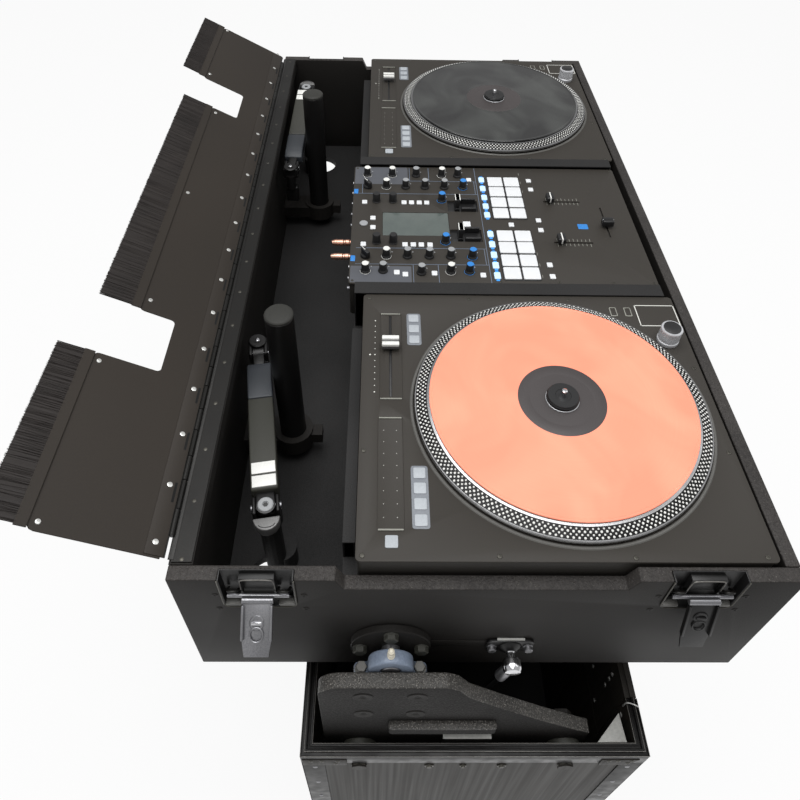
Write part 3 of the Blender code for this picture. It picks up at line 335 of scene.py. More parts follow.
def slab(outline, axis, low, high, soft=0.0, steps=2):
    """An outline in the plane across an axis, drawn out from low to high along it."""
    let_go()
    bpy.ops.mesh.primitive_circle_add(vertices=len(outline), radius=1.0, fill_type="NGON")
    item = bpy.context.object
    places = {"x": lambda a, b, c: (c, a, b), "y": lambda a, b, c: (a, c, b), "z": lambda a, b, c: (a, b, c)}
    place = places[axis]
    for vertex, (a, b) in zip(item.data.vertices, outline):
        vertex.co = Vector(place(a, b, low)) * MM
    bpy.ops.object.mode_set(mode="EDIT")
    bpy.ops.mesh.select_all(action="SELECT")
    step = Vector(place(0.0, 0.0, high - low)) * MM
    bpy.ops.mesh.extrude_region_move(TRANSFORM_OT_translate={"value": step})
    bpy.ops.mesh.select_all(action="SELECT")
    bpy.ops.mesh.normals_make_consistent(inside=False)
    bpy.ops.object.mode_set(mode="OBJECT")
    return softened(item, soft, steps) if soft else item


def turned(profile, sides=32, foot=(0.0, 0.0, 0.0), along=UP):
    """A round piece from (radius, height) pairs, drawn up from a disc by extruding and scaling."""
    let_go()
    radius, height = profile[0]
    bpy.ops.mesh.primitive_circle_add(vertices=sides, radius=radius * MM, fill_type="NGON",
                                      location=(0.0, 0.0, height * MM), enter_editmode=True)
    item = bpy.context.object
    for next_radius, next_height in profile[1:]:
        bpy.ops.mesh.extrude_region_move(
            TRANSFORM_OT_translate={"value": (0.0, 0.0, (next_height - height) * MM)})
        if next_radius != radius:
            change = next_radius / radius
            bpy.ops.transform.resize(value=(change, change, 1.0), center_override=(0.0, 0.0, next_height * MM))
        radius, height = next_radius, next_height
    bpy.ops.mesh.select_all(action="SELECT")
    bpy.ops.mesh.normals_make_consistent(inside=False)
    bpy.ops.object.mode_set(mode="OBJECT")
    turn = Vector(along).to_track_quat("Z", "Y").to_matrix().to_4x4()
    return moved(item, at(foot) @ turn @ item.matrix_world)


def rod(start, end, radius, sides=16, soft=0.0):
    """A round bar between two places, with a small chamfer at both ends."""
    start, end = Vector(start), Vector(end)
    length = (end - start).length
    profile = [(radius, 0.0), (radius, length)]
    if soft:
        profile = [(radius - soft, 0.0), (radius, soft), (radius, length - soft), (radius - soft, length)]
    return turned(profile, sides, start, end - start)


def cross_rod(x, reach, radius, sides, soft=0.0):
    """A bar across a monitor arm, at x along it."""
    return rod((x, -reach, 0), (x, reach, 0), radius, sides, soft)


def wire(points, radius, sides=8, closed=False):
    """A bent wire along points."""
    let_go()
    bpy.ops.curve.primitive_nurbs_path_add()
    item = bpy.context.object
    line = item.data.splines[0]
    if len(points) < len(line.points):
        raise ValueError("a wire needs as many points as a new path has")
    line.points.add(len(points) - len(line.points))
    for point, place in zip(line.points, points):
        point.co = (*(Vector(place) * MM), 1.0)
    line.order_u = 3
    line.use_endpoint_u = not closed
    line.use_cyclic_u = closed
    line.resolution_u = 4
    item.data.bevel_depth = radius * MM
    item.data.bevel_resolution = max(1, sides // 4)
    item.data.use_fill_caps = not closed
    bpy.ops.object.convert(target="MESH")
    item = bpy.context.object
    return outward(moved(item, item.matrix_world))


def cut(item, *tools):
    """Take helpers away from a piece."""
    for tool in tools:
        hold(item)
        step = item.modifiers.new("cut", "BOOLEAN")
        step.operation = "DIFFERENCE"
        step.solver = "EXACT"
        step.object = tool
        bpy.ops.object.modifier_apply(modifier=step.name)
        bpy.data.objects.remove(tool, do_unlink=True)
    return item


def copies(item, places):
    """Copies of a piece, each with its own mesh, moved by matrices or by offsets in millimetres."""
    made = []
    for place in places:
        twin = item.copy()
        twin.data = item.data.copy()
        twin.data.transform(place if isinstance(place, Matrix) else at(place))
        bpy.context.scene.collection.objects.link(twin)
        made.append(twin)
    bpy.data.objects.remove(item, do_unlink=True)
    return made


def joined(items):
    let_go()
    for item in items:
        item.select_set(True)
    bpy.context.view_layer.objects.active = items[0]
    if len(items) > 1:
        bpy.ops.object.join()
    return items[0]


def painted(item, *finishes):
    """Give a piece its finish, and a second one to the faces that look up: a lighter finish that paints the
    light falling on the tops.
    """
    item.data.materials.clear()
    for finish_name in finishes:
        item.data.materials.append(FINISHES[finish_name])
    if len(finishes) > 1:
        for face in item.data.polygons:
            if face.normal.z > 0.3:
                face.material_index = 1
    return item


def coated(*pairs):
    """Pieces with their finishes, painted and joined to one."""
    return joined([painted(item, finish_name) for item, finish_name in pairs])


def dress(item, name, body, finish_name=None, place=HOME, smooth=30.0, node=None):
    """Name a piece, or a list joined to one, and hand it to its body, in place of a node where one is named."""
    if isinstance(item, list):
        item = joined(item)
    if finish_name:
        painted(item, finish_name)
    moved(item, place @ item.matrix_world)
    item.name = name
    item.data.name = name
    if smooth:
        bpy.ops.object.shade_smooth_by_angle(angle=math.radians(smooth))
    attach(item, body)
    if node:
        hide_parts(node)
    return item


def arc(a, b, radius, start, end, steps):
    angles = [math.radians(start + (end - start) * i / steps) for i in range(steps + 1)]
    return [(a + radius * math.cos(t), b + radius * math.sin(t)) for t in angles]


def rounded(low_a, high_a, low_b, high_b, radius, steps=4):
    """A rectangle with round corners."""
    return (arc(high_a - radius, high_b - radius, radius, 0, 90, steps)
            + arc(low_a + radius, high_b - radius, radius, 90, 180, steps)
            + arc(low_a + radius, low_b + radius, radius, 180, 270, steps)
            + arc(high_a - radius, low_b + radius, radius, 270, 360, steps))


def tile(x_low, x_high, y_low, y_high, radius, low, high, soft=0.0, steps=2):
    """A lying plate with round corners."""
    return slab(rounded(x_low, x_high, y_low, y_high, radius), "z", low, high, soft, steps)


def key(x, y, half_x, half_y, radius, low, high, soft=0.0, steps=2):
    """A lying plate with round corners, by its middle and half sizes."""
    return tile(x - half_x, x + half_x, y - half_y, y + half_y, radius, low, high, soft, steps)


def span(sign, low, high):
    """A span of X from the middle outwards, at one end."""
    return (low, high) if sign > 0 else (-high, -low)


def aside(middle, side, low, high):
    """A span that lies to one side of a middle."""
    return sorted((middle + side * low, middle + side * high))


def end_block(sign, x_low, x_high, y_low, y_high, z_low, z_high, soft=0.6, steps=2):
    x0, x1 = span(sign, x_low, x_high)
    return block((x0, y_low, z_low), (x1, y_high, z_high), soft, steps)


def screw(radius, height=1.2, sides=16):
    """A pan head with a cross recess, standing at the origin."""
    head = turned([(radius, 0.0), (radius, height * 0.35), (radius * 0.82, height * 0.85),
                   (radius * 0.5, height)], sides)
    arm, wide = radius * 0.5, radius * 0.13
    for a, b in ((arm, wide), (wide, arm)):
        cut(head, block((-a, -b, height * 0.5), (a, b, height + 1), 0))
    return head


def hex_head(radius, height, washer=1.35):
    """A hexagon bolt head on its washer, standing at the origin."""
    ring = turned([(radius * washer, 0.0), (radius * washer, 1.2), (radius * washer - 0.4, 1.6)], 24)
    head = turned([(radius, 1.4), (radius, height - 1.0), (radius * 0.86, height)], 6)
    return joined([ring, head])


def rivet(radius, height=1.0):
    return turned([(radius, 0.0), (radius, height * 0.3), (radius * 0.75, height * 0.8),
                   (radius * 0.35, height)], 12)


FINISHES = {}
GROUPS = {}


def new_group(name, inputs, outputs):
    tree = bpy.data.node_groups.new(name, "ShaderNodeTree")
    kinds = {"v": "NodeSocketVector", "c": "NodeSocketColor", "f": "NodeSocketFloat"}
    for way, sockets in (("INPUT", inputs), ("OUTPUT", outputs)):
        for label, kind in sockets:
            tree.interface.new_socket(name=label, in_out=way, socket_type=kinds[kind])
    return tree, tree.nodes.new("NodeGroupInput").outputs, tree.nodes.new("NodeGroupOutput").inputs


def fill(tree, socket, value):
    """Link a socket to another, or set its value."""
    if isinstance(value, bpy.types.NodeSocket):
        tree.links.new(value, socket)
    else:
        socket.default_value = value


def put(tree, kind, traits=None, **values):
    """A node with its traits, and its sockets filled by number or by name."""
    made = tree.nodes.new(kind)
    for name, value in (traits or {}).items():
        setattr(made, name, value)
    for label, value in values.items():
        fill(tree, made.inputs[int(label[1:]) if label[0] == "_" else label.replace("_", " ")], value)
    return made


def maths(tree, how, a, b=0.0, clamp=False):
    return put(tree, "ShaderNodeMath", {"operation": how, "use_clamp": clamp}, _0=a, _1=b).outputs[0]


def colour_mix(tree, amount, first, second):
    return put(tree, "ShaderNodeMix", {"data_type": "RGBA"}, _0=amount, _6=first, _7=second).outputs[2]


def spread(tree, value, low, high, to_low=0.0, to_high=1.0):
    return put(tree, "ShaderNodeMapRange", Value=value, From_Min=low, From_Max=high, To_Min=to_low,
               To_Max=to_high).outputs[0]


def noise(tree, where, scale, detail, **more):
    return put(tree, "ShaderNodeTexNoise", Vector=where, Scale=scale, Detail=detail, **more).outputs[0]


def grain_group():
    """Fine grain with slow patches: a colour between two, a mask and a height."""
    tree, given, result = new_group(
        "Grain",
        [("Vector", "v"), ("Colour", "c"), ("Second colour", "c"), ("Scale", "f"), ("Patch scale", "f")],
        [("Colour", "c"), ("Mask", "f"), ("Height", "f")])
    fine = noise(tree, given["Vector"], given["Scale"], 3.0, Roughness=0.6)
    slow = noise(tree, given["Vector"], given["Patch scale"], 2.0)
    both = maths(tree, "ADD", maths(tree, "MULTIPLY", fine, 0.6), maths(tree, "MULTIPLY", slow, 0.4))
    mask = spread(tree, both, 0.35, 0.65)
    fill(tree, result["Colour"], colour_mix(tree, mask, given["Colour"], given["Second colour"]))
    fill(tree, result["Mask"], mask)
    fill(tree, result["Height"], fine)
    return tree


def glint_group():
    """Painted glints: light specks on the peaks of a coat that stand in for glints of light, as a mask and a
    bumpy height.
    """
    tree, given, result = new_group("Painted glints", [("Vector", "v"), ("Scale", "f"), ("Cover", "f")],
                                    [("Mask", "f"), ("Height", "f")])
    cells = put(tree, "ShaderNodeTexVoronoi", {"feature": "SMOOTH_F1"}, Vector=given["Vector"],
                Scale=given["Scale"], Smoothness=0.7).outputs[0]
    tiny = noise(tree, given["Vector"], maths(tree, "MULTIPLY", given["Scale"], 1.7), 2.0)
    peak = maths(tree, "SUBTRACT", 1.0, spread(tree, cells, 0.0, 0.55))
    level = maths(tree, "SUBTRACT", 0.72, maths(tree, "MULTIPLY", given["Cover"], 0.3))
    light = maths(tree, "MULTIPLY", maths(tree, "SUBTRACT", tiny, level), 9.0, clamp=True)
    fill(tree, result["Mask"], maths(tree, "MULTIPLY", light, peak, clamp=True))
    fill(tree, result["Height"],
         maths(tree, "ADD", maths(tree, "MULTIPLY", peak, 0.7), maths(tree, "MULTIPLY", tiny, 0.3)))
    return tree


def rings_group():
    """Rings round a centre: fine ridges and slow bands by distance."""
    tree, given, result = new_group("Rings", [("Vector", "v"), ("Pitch", "f")],
                                    [("Ridges", "f"), ("Bands", "f")])
    flat = put(tree, "ShaderNodeVectorMath", {"operation": "MULTIPLY"}, _0=given["Vector"], _1=(1.0, 1.0, 0.0))
    far = put(tree, "ShaderNodeVectorMath", {"operation": "LENGTH"}, _0=flat.outputs[0]).outputs["Value"]
    turns = maths(tree, "MULTIPLY", maths(tree, "DIVIDE", far, given["Pitch"]), math.tau)
    ridges = maths(tree, "ADD", maths(tree, "MULTIPLY", maths(tree, "SINE", turns), 0.5), 0.5)
    bands = put(tree, "ShaderNodeTexNoise", {"noise_dimensions": "1D"}, W=maths(tree, "MULTIPLY", far, 420.0),
                Scale=1.0, Detail=3.0).outputs[0]
    fill(tree, result["Ridges"], ridges)
    fill(tree, result["Bands"], bands)
    return tree


def shader_of(name):
    made = bpy.data.materials.new(name)
    made.use_nodes = True
    FINISHES[name] = made
    return made.node_tree, made.node_tree.nodes["Principled BSDF"].inputs


def place_in(tree, centre=None):
    """Object coordinates, measured from a centre in console millimetres when one is given."""
    coords = tree.nodes.new("ShaderNodeTexCoord").outputs["Object"]
    if centre is None:
        return coords
    away = (HOME @ (Vector(centre) * MM)) * -1
    return put(tree, "ShaderNodeMapping", Vector=coords, Location=away).outputs[0]


def group_in(tree, name, **values):
    return put(tree, "ShaderNodeGroup", {"node_tree": GROUPS[name]}, **values).outputs


def solid(colour, dim=1.0):
    return (*(c * dim for c in colour), 1.0)


def relief(tree, shader, strength, depth, height):
    bump = put(tree, "ShaderNodeBump", Strength=strength, Distance=depth * MM, Height=height)
    fill(tree, shader["Normal"], bump.outputs[0])


def finish(name, colour, second, rough, bump, metallic=0.0, scale=900.0, patch=14.0, depth=0.2, gloss=0.5):
    """A material with grain, patches and relief, and on the coats that have them, painted glints: light specks
    that stand in for glints of light.
    """
    tree, shader = shader_of(name)
    where = place_in(tree)
    grain = group_in(tree, "Grain", Vector=where, Colour=solid(colour), Second_colour=solid(second),
                     Scale=scale, Patch_scale=patch)
    tint, height = grain["Colour"], grain["Height"]
    if name in GLINT_SPECKS:
        glint_scale, cover, glint_colour = GLINT_SPECKS[name]
        dots = group_in(tree, "Painted glints", Vector=where, Scale=glint_scale, Cover=cover)
        # painted glints: light specks mixed into the colour where light would glint
        tint = colour_mix(tree, dots["Mask"], tint, solid(shade(*glint_colour)))
        height = dots["Height"]
    fill(tree, shader["Base Color"], tint)
    fill(tree, shader["Roughness"], spread(tree, grain["Mask"], 0.0, 1.0, *rough))
    relief(tree, shader, bump, depth, height)
    shader["Metallic"].default_value = metallic
    shader["Specular IOR Level"].default_value = gloss
    return shader


def record_finish(name, colour, sign, rough, coat, reflection_tint):
    """Pressed vinyl: fine groove ridges, slow bands between tracks and faint cloudy swirls, which are painted
    reflections of the surroundings.
    """
    tree, shader = shader_of(name)
    where = place_in(tree, (sign * DECK_X, PLATTER_Y, RECORD_TOP))
    rings = group_in(tree, "Rings", Vector=where, Pitch=0.0006)
    # painted reflection: lighter cloudy swirls in the reflection tint stand in for the surroundings mirrored on
    # the vinyl
    cloud = noise(tree, where, 9.0, 2.0, Distortion=1.2)
    tint = colour_mix(tree, spread(tree, cloud, 0.38, 0.72), solid(colour, 0.94), solid(reflection_tint))
    track = spread(tree, rings["Bands"], 0.3, 0.7)
    tint = colour_mix(tree, maths(tree, "MULTIPLY", track, 0.12), tint, solid(colour, 0.8))
    fill(tree, shader["Base Color"], tint)
    fill(tree, shader["Roughness"], spread(tree, track, 0.0, 1.0, *rough))
    relief(tree, shader, 0.12, 0.05, maths(tree, "ADD", rings["Ridges"], rings["Bands"]))
    shader["Coat Weight"].default_value = coat
    shader["Specular IOR Level"].default_value = 0.3


def streaked_finish(name, colour, second, rough, metallic, stretch):
    """A rolled or laminated sheet with long soft streaks along one direction."""
    tree, shader = shader_of(name)
    where = put(tree, "ShaderNodeMapping", Vector=place_in(tree), Scale=stretch).outputs[0]
    mask = spread(tree, noise(tree, where, 60.0, 4.0), 0.35, 0.65)
    grain = group_in(tree, "Grain", Vector=place_in(tree), Colour=solid(colour), Second_colour=solid(second),
                     Scale=1200.0, Patch_scale=20.0)
    tint = colour_mix(tree, maths(tree, "MULTIPLY", mask, 0.4), grain["Colour"], solid(second))
    fill(tree, shader["Base Color"], tint)
    fill(tree, shader["Roughness"], spread(tree, mask, 0.0, 1.0, *rough))
    relief(tree, shader, 0.08, 0.1, grain["Height"])
    shader["Metallic"].default_value = metallic
    shader["Specular IOR Level"].default_value = 0.3


def lamp_finish(name, colour, strength):
    """A lit key: a pale cap with light behind it."""
    shader = finish(name, colour, solid(colour, 0.9)[:3], (0.3, 0.4), 0.03)
    shader["Emission Color"].default_value = solid(colour)
    shader["Emission Strength"].default_value = strength


def make_finishes():
    case = settings()
    GROUPS.update({"Grain": grain_group(), "Painted glints": glint_group(), "Rings": rings_group()})
    for name, colour, second, *rest in COATS:
        shader = finish(name, shade(*colour), shade(*second), *rest)
        if name == "screen":
            shader["Coat Weight"].default_value = 0.15
    for name, colour, second, *rest in STREAKED:
        streaked_finish(name, shade(*colour), shade(*second), *rest)
    for name, colour, bright, dim, *rest in (
            ("housing", case.shell, 1.0, 0.8, (0.5, 0.62), 0.22, 0.0, 1600.0, 3.0, 0.1, 0.28),
            # painted shade: the housings' sides take the shell colour darkened, as a shaded copy of the top's
            # colour
            ("housing side", case.shell, 0.6, 0.42, (0.5, 0.65), 0.15, 0.0, 1300.0),
            ("cap blue", case.accent, 1.0, 0.8, (0.3, 0.4), 0.03),
            ("pad rubber", case.pad, 1.0, 0.93, (0.45, 0.55), 0.08, 0.0, 1500.0, 40.0)):
        finish(name, solid(colour, bright)[:3], solid(colour, dim)[:3], *rest)
    lamp_finish("lit key", shade(186, 214, 240), 0.25)
    lamp_finish("blue lamp", tuple(case.accent), 0.9)
    # the last colour of each record is the tint of its painted reflections
    record_finish("pink vinyl", tuple(case.record_left), -1, (0.3, 0.42), 0.1,
                  [min(1.0, c * 1.12 + 0.012) for c in case.record_left])
    record_finish("black vinyl", tuple(case.record_right), 1, (0.12, 0.24), 0.7, shade(60, 62, 60))


OPERATORS = []


def operator(cls):
    """Operators are listed in the order in which they are written."""
    OPERATORS.append(cls)
    return cls


@operator
class CONSOLECASE_OT_stage(bpy.types.Operator):
    """Floor, soft lamps, pale world and the camera at the photograph's angle"""
    bl_idname = "consolecase.stage"
    bl_label = "Stage"

    def execute(self, context):
        context.scene.view_settings.view_transform = "Standard"
        make_finishes()
        self.floor()
        self.sky(context.scene)
        for index, (place, size, power) in enumerate(LAMPS):
            self.lamp(f"lamp_{index + 1}", place, size, settings().lamp_strength if power is None else power)
        self.camera(context.scene)
        return {"FINISHED"}

    def floor(self):
        let_go()
        bpy.ops.mesh.primitive_plane_add(size=14.0, location=(0.0, 0.0, -0.0005))
        floor = bpy.context.object
        floor.name = "floor"
        tree, shader = shader_of("floor")
        shader["Base Color"].default_value = (0.86, 0.86, 0.86, 1.0)
        shader["Roughness"].default_value = 0.9
        path = tree.nodes.new("ShaderNodeLightPath").outputs
        seen = maths(tree, "ADD", path["Is Camera Ray"], path["Is Glossy Ray"])
        seen = maths(tree, "ADD", seen, path["Is Transmission Ray"], clamp=True)
        glow = put(tree, "ShaderNodeEmission", Color=(1.0, 1.0, 1.0, 1.0), Strength=1.0)
        plain = tree.nodes["Principled BSDF"]
        mixed = put(tree, "ShaderNodeMixShader", _0=maths(tree, "MULTIPLY", seen, 0.9), _1=plain.outputs[0],
                    _2=glow.outputs[0])
        fill(tree, tree.nodes["Material Output"].inputs["Surface"], mixed.outputs[0])
        floor.data.materials.append(FINISHES["floor"])

    def sky(self, scene):
        world = bpy.data.worlds.new("pale world")
        world.use_nodes = True
        scene.world = world
        tree = world.node_tree
        light = tree.nodes["Background"].inputs
        light["Color"].default_value = (1.0, 1.0, 1.0, 1.0)
        path = tree.nodes.new("ShaderNodeLightPath").outputs
        seen = maths(tree, "ADD", path["Is Camera Ray"], path["Is Transmission Ray"], clamp=True)
        fill(tree, light["Strength"], spread(tree, seen, 0.0, 1.0, SKY_STRENGTH, 1.0))

    def lamp(self, name, place, size, power):
        bpy.ops.object.light_add(type="AREA", location=place)
        lamp = bpy.context.object
        lamp.name = name
        lamp.data.size = size
        lamp.data.energy = power
        lamp.rotation_euler = (Vector(LAMP_AIM) - Vector(place)).to_track_quat("-Z", "Y").to_euler()

    def camera(self, scene):
        forward = Vector((math.cos(CAMERA_PITCH) * math.cos(CAMERA_YAW),
                          math.cos(CAMERA_PITCH) * math.sin(CAMERA_YAW), -math.sin(CAMERA_PITCH)))
        right = forward.cross(Vector(UP)).normalized()
        down = forward.cross(right)
        level, tilt = math.cos(CAMERA_ROLL), math.sin(CAMERA_ROLL)
        axes = Matrix((right * level + down * tilt, right * tilt - down * level, -forward))
        bpy.ops.object.camera_add()
        camera = bpy.context.object
        camera.matrix_world = HOME @ at(CAMERA_PLACE) @ axes.transposed().to_4x4()
        camera.data.sensor_width = SENSOR
        camera.data.lens = CAMERA_FOCAL / IMAGE_SIZE * SENSOR
        camera.data.shift_x = (IMAGE_SIZE / 2 - CAMERA_CENTRE[0]) / IMAGE_SIZE
        camera.data.shift_y = (CAMERA_CENTRE[1] - IMAGE_SIZE / 2) / IMAGE_SIZE
        camera.data.clip_start = 0.05
        scene.camera = camera


@operator
class CONSOLECASE_OT_kept_finishes(bpy.types.Operator):
    """Procedural finishes on the frame's pieces that keep their own shapes"""
    bl_idname = "consolecase.kept_finishes"
    bl_label = "Finishes of the frame"

    def execute(self, context):
        for name, nodes in KEPT_FINISHES.items():
            for node in nodes:
                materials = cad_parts[node].data.materials
                for index in range(len(materials)):
                    materials[index] = FINISHES[name]
        return {"FINISHED"}


@operator
class CONSOLECASE_OT_decks(bpy.types.Operator):
    """The two decks: housings, slots, touch strips, pads, keys and screws"""
    bl_idname = "consolecase.decks"
    bl_label = "Decks"

    def execute(self, context):
        for end, sign in ENDS:
            self.end = end
            self.place = HOME @ at((sign * DECK_X, 0, DECK_TOP))
            self.housing()
            self.well_ring(sign * DECK_X)
            self.marks()
            self.pads()
            self.lamp_outline()
            self.pitch_cap()
            self.round_knob()
        return {"FINISHED"}

    def fit(self, name, parts, slot, finish_name=None, node=None):
        """Set pieces on the deck, drawn from the middle of its top."""
        dress(parts, f"deck_{self.end}_{name}", "console", finish_name, self.place, node=node)

    def housing(self):
        half = DECK_WIDTH / 2
        tub = tile(1.5 - half, half - 1.5, DECK_FRONT + 1.5, DECK_REAR - 1.5, 5, SHELF_TOP + 0.3 - DECK_TOP,
                   -3, 0.8)
        plate = tile(-half, half, DECK_FRONT, DECK_REAR, 5, -3.2, 0)
        cut(plate, tile(9, 149, 77.5, 104.5, 2, -0.9, 2), tile(-153, -15, 78.5, 106, 3, -0.9, 2),
            turned([(168.2, -1.4), (168.2, 2)], 96, (0, PLATTER_Y, 0)), block((14, 90, -6), (145, 93, 2), 0))
        softened(plate, 0.7, 2, 50)
        # painted shade: the tub's sides take the darkened copy of the housing colour
        self.fit("housing", [painted(plate, "housing"), painted(tub, "housing side")], "deck_shell",
                 node=f"deck_chassis_{self.end}")

    def well_ring(self, centre):
        """Drawn where it stands, because its cut runs along its own wall."""
        spindle = (centre, PLATTER_Y, 0)
        profile = ((WELL_RADIUS, -1.2), (WELL_RADIUS, 0.6), (169.6, 1.0), (171.2, 1.0), (172.4, -0.2),
                   (172.4, -1.2))
        ring = turned([(radius, DECK_TOP + height) for radius, height in profile], 128, spindle)
        cut(ring, turned([(WELL_RADIUS, DECK_TOP - 3), (WELL_RADIUS, DECK_TOP + 3)], 128, spindle))
        dress(ring, f"deck_{self.end}_well_ring", "console", "well ring")

    def marks(self):
        self.fit("end_bars", [block((x, y, -0.8), (x + 1.8, y + long, 0.5), 0.3) for x, y, long in (
            (9.5, 78.5, 25), (146.5, 78.5, 25), (-152.5, 79.5, 25.5), (-17.5, 79.5, 25.5))],
                 "latch_steel", "print grey")
        self.fit("slot", [block((14, 90.2, -5.5), (145, 92.8, -0.88), 0.2)], "black_plastic", "black plastic")
        dots = [(20 + index * 9.6, 110.5, 0.9 if index in (0, 6, 12) else 0.65) for index in range(13)]
        dots = [turned([(radius, -0.05), (radius, 0.12)], 8, (x, y, 0)) for x, y, radius in
                (*dots, (77.6, 116.5, 1.2))]
        dots += [turned([(0.42, -0.9), (0.42, -0.78)], 8, (-33 - index * 15, y, 0)) for index in range(8)
                 for y in (85.5, 99.5)]
        self.fit("marks", dots, "deck_shell", "print white")

    def pads(self):
        frames, pads = [], []
        for y, row in DECK_PAD_ROWS:
            frames.append(tile(min(row) - 9, max(row) + 9, y - 9, y + 9, 3, -0.3, 0.6, 0.3))
            pads += [key(x, y, 6.4, 6.4, 1.6, 0.5, 1.5, 0.4) for x in row]
        pads.append(tile(-171, -158, 85.2, 98, 1.6, -0.2, 1.5, 0.4))
        self.fit("pad_frames", frames, "deck_shell", "key frame")
        self.fit("pads", pads, "deck_shell", "deck pad")
        keys = []
        for y in (-200, -219):
            keys += [painted(key(155, y, 8, 4.6, 1.5, -0.2, 0.7, 0.2), "print grey"),
                     painted(key(155, y, 6.6, 3.3, 1, 0.5, 1, 0.2), "housing")]
        self.fit("keys", keys, "deck_shell")

    def lamp_outline(self):
        outline = ((130, -231, 168, -229.8), (166.8, -282, 168, -230), (130, -282, 131.2, -230),
                   (130, -282, 168, -280.8))
        self.fit("lamp_outline", [block((a, b, -0.2), (c, d, 0.25), 0) for a, b, c, d in outline],
                 "deck_shell", "print white")
        self.fit("screws", copies(screw(2.7, 0.9, 12), [(x, y, -0.1) for x, y in DECK_SCREWS]),
                 "deck_shell", "dark screw")

    def pitch_cap(self):
        cap = coated((block((82.5, 81, 4), (98.5, 102, 9.5), 1, 3), "satin chrome"),
                     (block((82.5, 81, 8.5), (88.3, 102, 13), 0.9, 3), "cap white"),
                     (block((92.7, 81, 8.5), (98.5, 102, 13), 0.9, 3), "cap white"),
                     (block((87.5, 90.6, -5), (93.5, 92.4, 4.5), 0.3), "black plastic"))
        dress(cap, f"pitch_cap_{self.end}", f"pitch_fader_{self.end}", place=self.place,
              node=f"pitch_fader_{self.end}")

    def round_knob(self):
        grips = copies(rod((12.3, 0, 7), (12.3, 0, 18.5), 0.8, 8), [at((0, 0, 0), 15 * i) for i in range(24)])
        knob = coated((turned([(13.2, 0.3), (13.5, 1.2), (13.5, 5), (12.4, 6), (12.4, 19), (13.3, 20),
                               (13.3, 22.5), (12.6, 23.6)], 40), "knob silver"),
                      (turned([(10.6, 23.2), (10.6, 24.6), (9.8, 25)], 40), "black plastic"),
                      (joined(grips), "knob silver"))
        dress(knob, f"deck_knob_top_{self.end}", f"deck_knob_{self.end}",
              place=self.place @ at((*DECK_KNOB, 0)), node=f"deck_knob_{self.end}")


@operator
class CONSOLECASE_OT_platters(bpy.types.Operator):
    """Platters with strobe dots, records with labels, pucks and spindles"""
    bl_idname = "consolecase.platters"
    bl_label = "Platters and records"

    def execute(self, context):
        for end, sign in ENDS:
            self.platter(end, HOME @ at((sign * DECK_X, PLATTER_Y, DECK_TOP)))
            self.record(end, HOME @ at((sign * DECK_X, PLATTER_Y, RECORD_TOP)))
        return {"FINISHED"}

    def platter(self, end, place):
        slope = math.atan2(STROBE_HEAD - STROBE_FOOT, STROBE_OUTER - STROBE_INNER)
        count = settings().strobe_dots
        rings = []
        for radius, size, offset in STROBE_RINGS:
            height = STROBE_FOOT - 0.25 + (STROBE_OUTER - radius) * math.tan(slope)
            dot = turned([(size, 0.0), (size * 0.92, 0.45), (size * 0.5, 0.75)], 8)
            start = Matrix.Rotation(math.tau * offset / count, 4, "Z")
            moved(dot, start @ at((radius, 0, height)) @ Matrix.Rotation(slope, 4, "Y"))
            rings.append(self.ringed(dot, count))
        whole = coated(
            (turned([(160, 1.2), (166.4, 1.4), (167.4, 2.6), (167.4, 5.2), (166.6, 6.4), (165.4, 6.4)], 128),
             "platter metal"),
            (turned([(165.6, 6), (STROBE_OUTER, STROBE_FOOT), (STROBE_INNER, STROBE_HEAD)], 128),
             "platter black"),
            (turned([(153.8, 9.5), (153.4, 11.2), (152.4, 11.5), (12, 11.5)], 128), "platter metal"),
            (turned([(12, -1.2), (12, 3)], 24), "platter metal"),
            (joined(rings), "strobe dot"))
        dress(whole, f"platter_{end}_dressed", f"platter_{end}", place=place,
              node=f"platter_{end}")

    def ringed(self, item, count):
        """The same dot all round the spindle."""
        pivot = bpy.data.objects.new("ring step", None)
        pivot.rotation_euler = (0.0, 0.0, math.tau / count)
        bpy.context.scene.collection.objects.link(pivot)
        hold(item)
        step = item.modifiers.new("ring", "ARRAY")
        step.use_relative_offset = False
        step.use_object_offset = True
        step.offset_object = pivot
        step.count = count
        bpy.context.view_layer.update()
        bpy.ops.object.modifier_apply(modifier=step.name)
        bpy.data.objects.remove(pivot, do_unlink=True)
        return item

    def record(self, end, place):
        vinyl = "pink vinyl" if end == "left" else "black vinyl"
        disc = coated((turned([(149.6, -2.2), (150.5, -1.8), (150.5, -0.5), (150, -0.1), (148.2, 0),
                               (146.6, -0.35), (58, -0.35), (53, -0.15), (51, 0)], 160), vinyl),
                      (turned([(148.5, -2.5), (148.5, -2)], 96), "felt"))
        dress(disc, f"record_{end}_disc", f"platter_{end}", place=place, smooth=12.0,
              node=f"record_{end}")
        label = turned([(50.2, -0.1), (49.8, 0.12), (37, 0.12), (36.4, 0.06), (35.8, 0.12)], 96)
        dress(label, f"record_{end}_label", f"platter_{end}", "label paper", place)
        puck = coated((turned([(18.2, 0.12), (18.6, 0.8), (18.6, 5.2), (17.8, 6.2), (17.8, 7.2), (17.2, 7.8),
                               (9, 7.8), (8.4, 7.2), (5, 7.2)], 64), "black plastic"),
                      (turned([(18.4, 0.14), (19.1, 0.5), (19.1, 1.5), (18.5, 1.9)], 64), "knob silver"),
                      (turned([(3.6, 6), (3.6, 14.4), (3.1, 15.9), (1.8, 16.7)], 24), "polished chrome"))
        dress(puck, f"record_{end}_puck", f"platter_{end}", place=place)


MIXER_PLACE = HOME @ at((0, 0, MIXER_TOP))


def on_mixer(name, parts, finish_name=None, node=None, body="console"):
    """Set pieces on the mixer, drawn from the middle of its top."""
    dress(parts, name, body, finish_name, MIXER_PLACE, node=node)


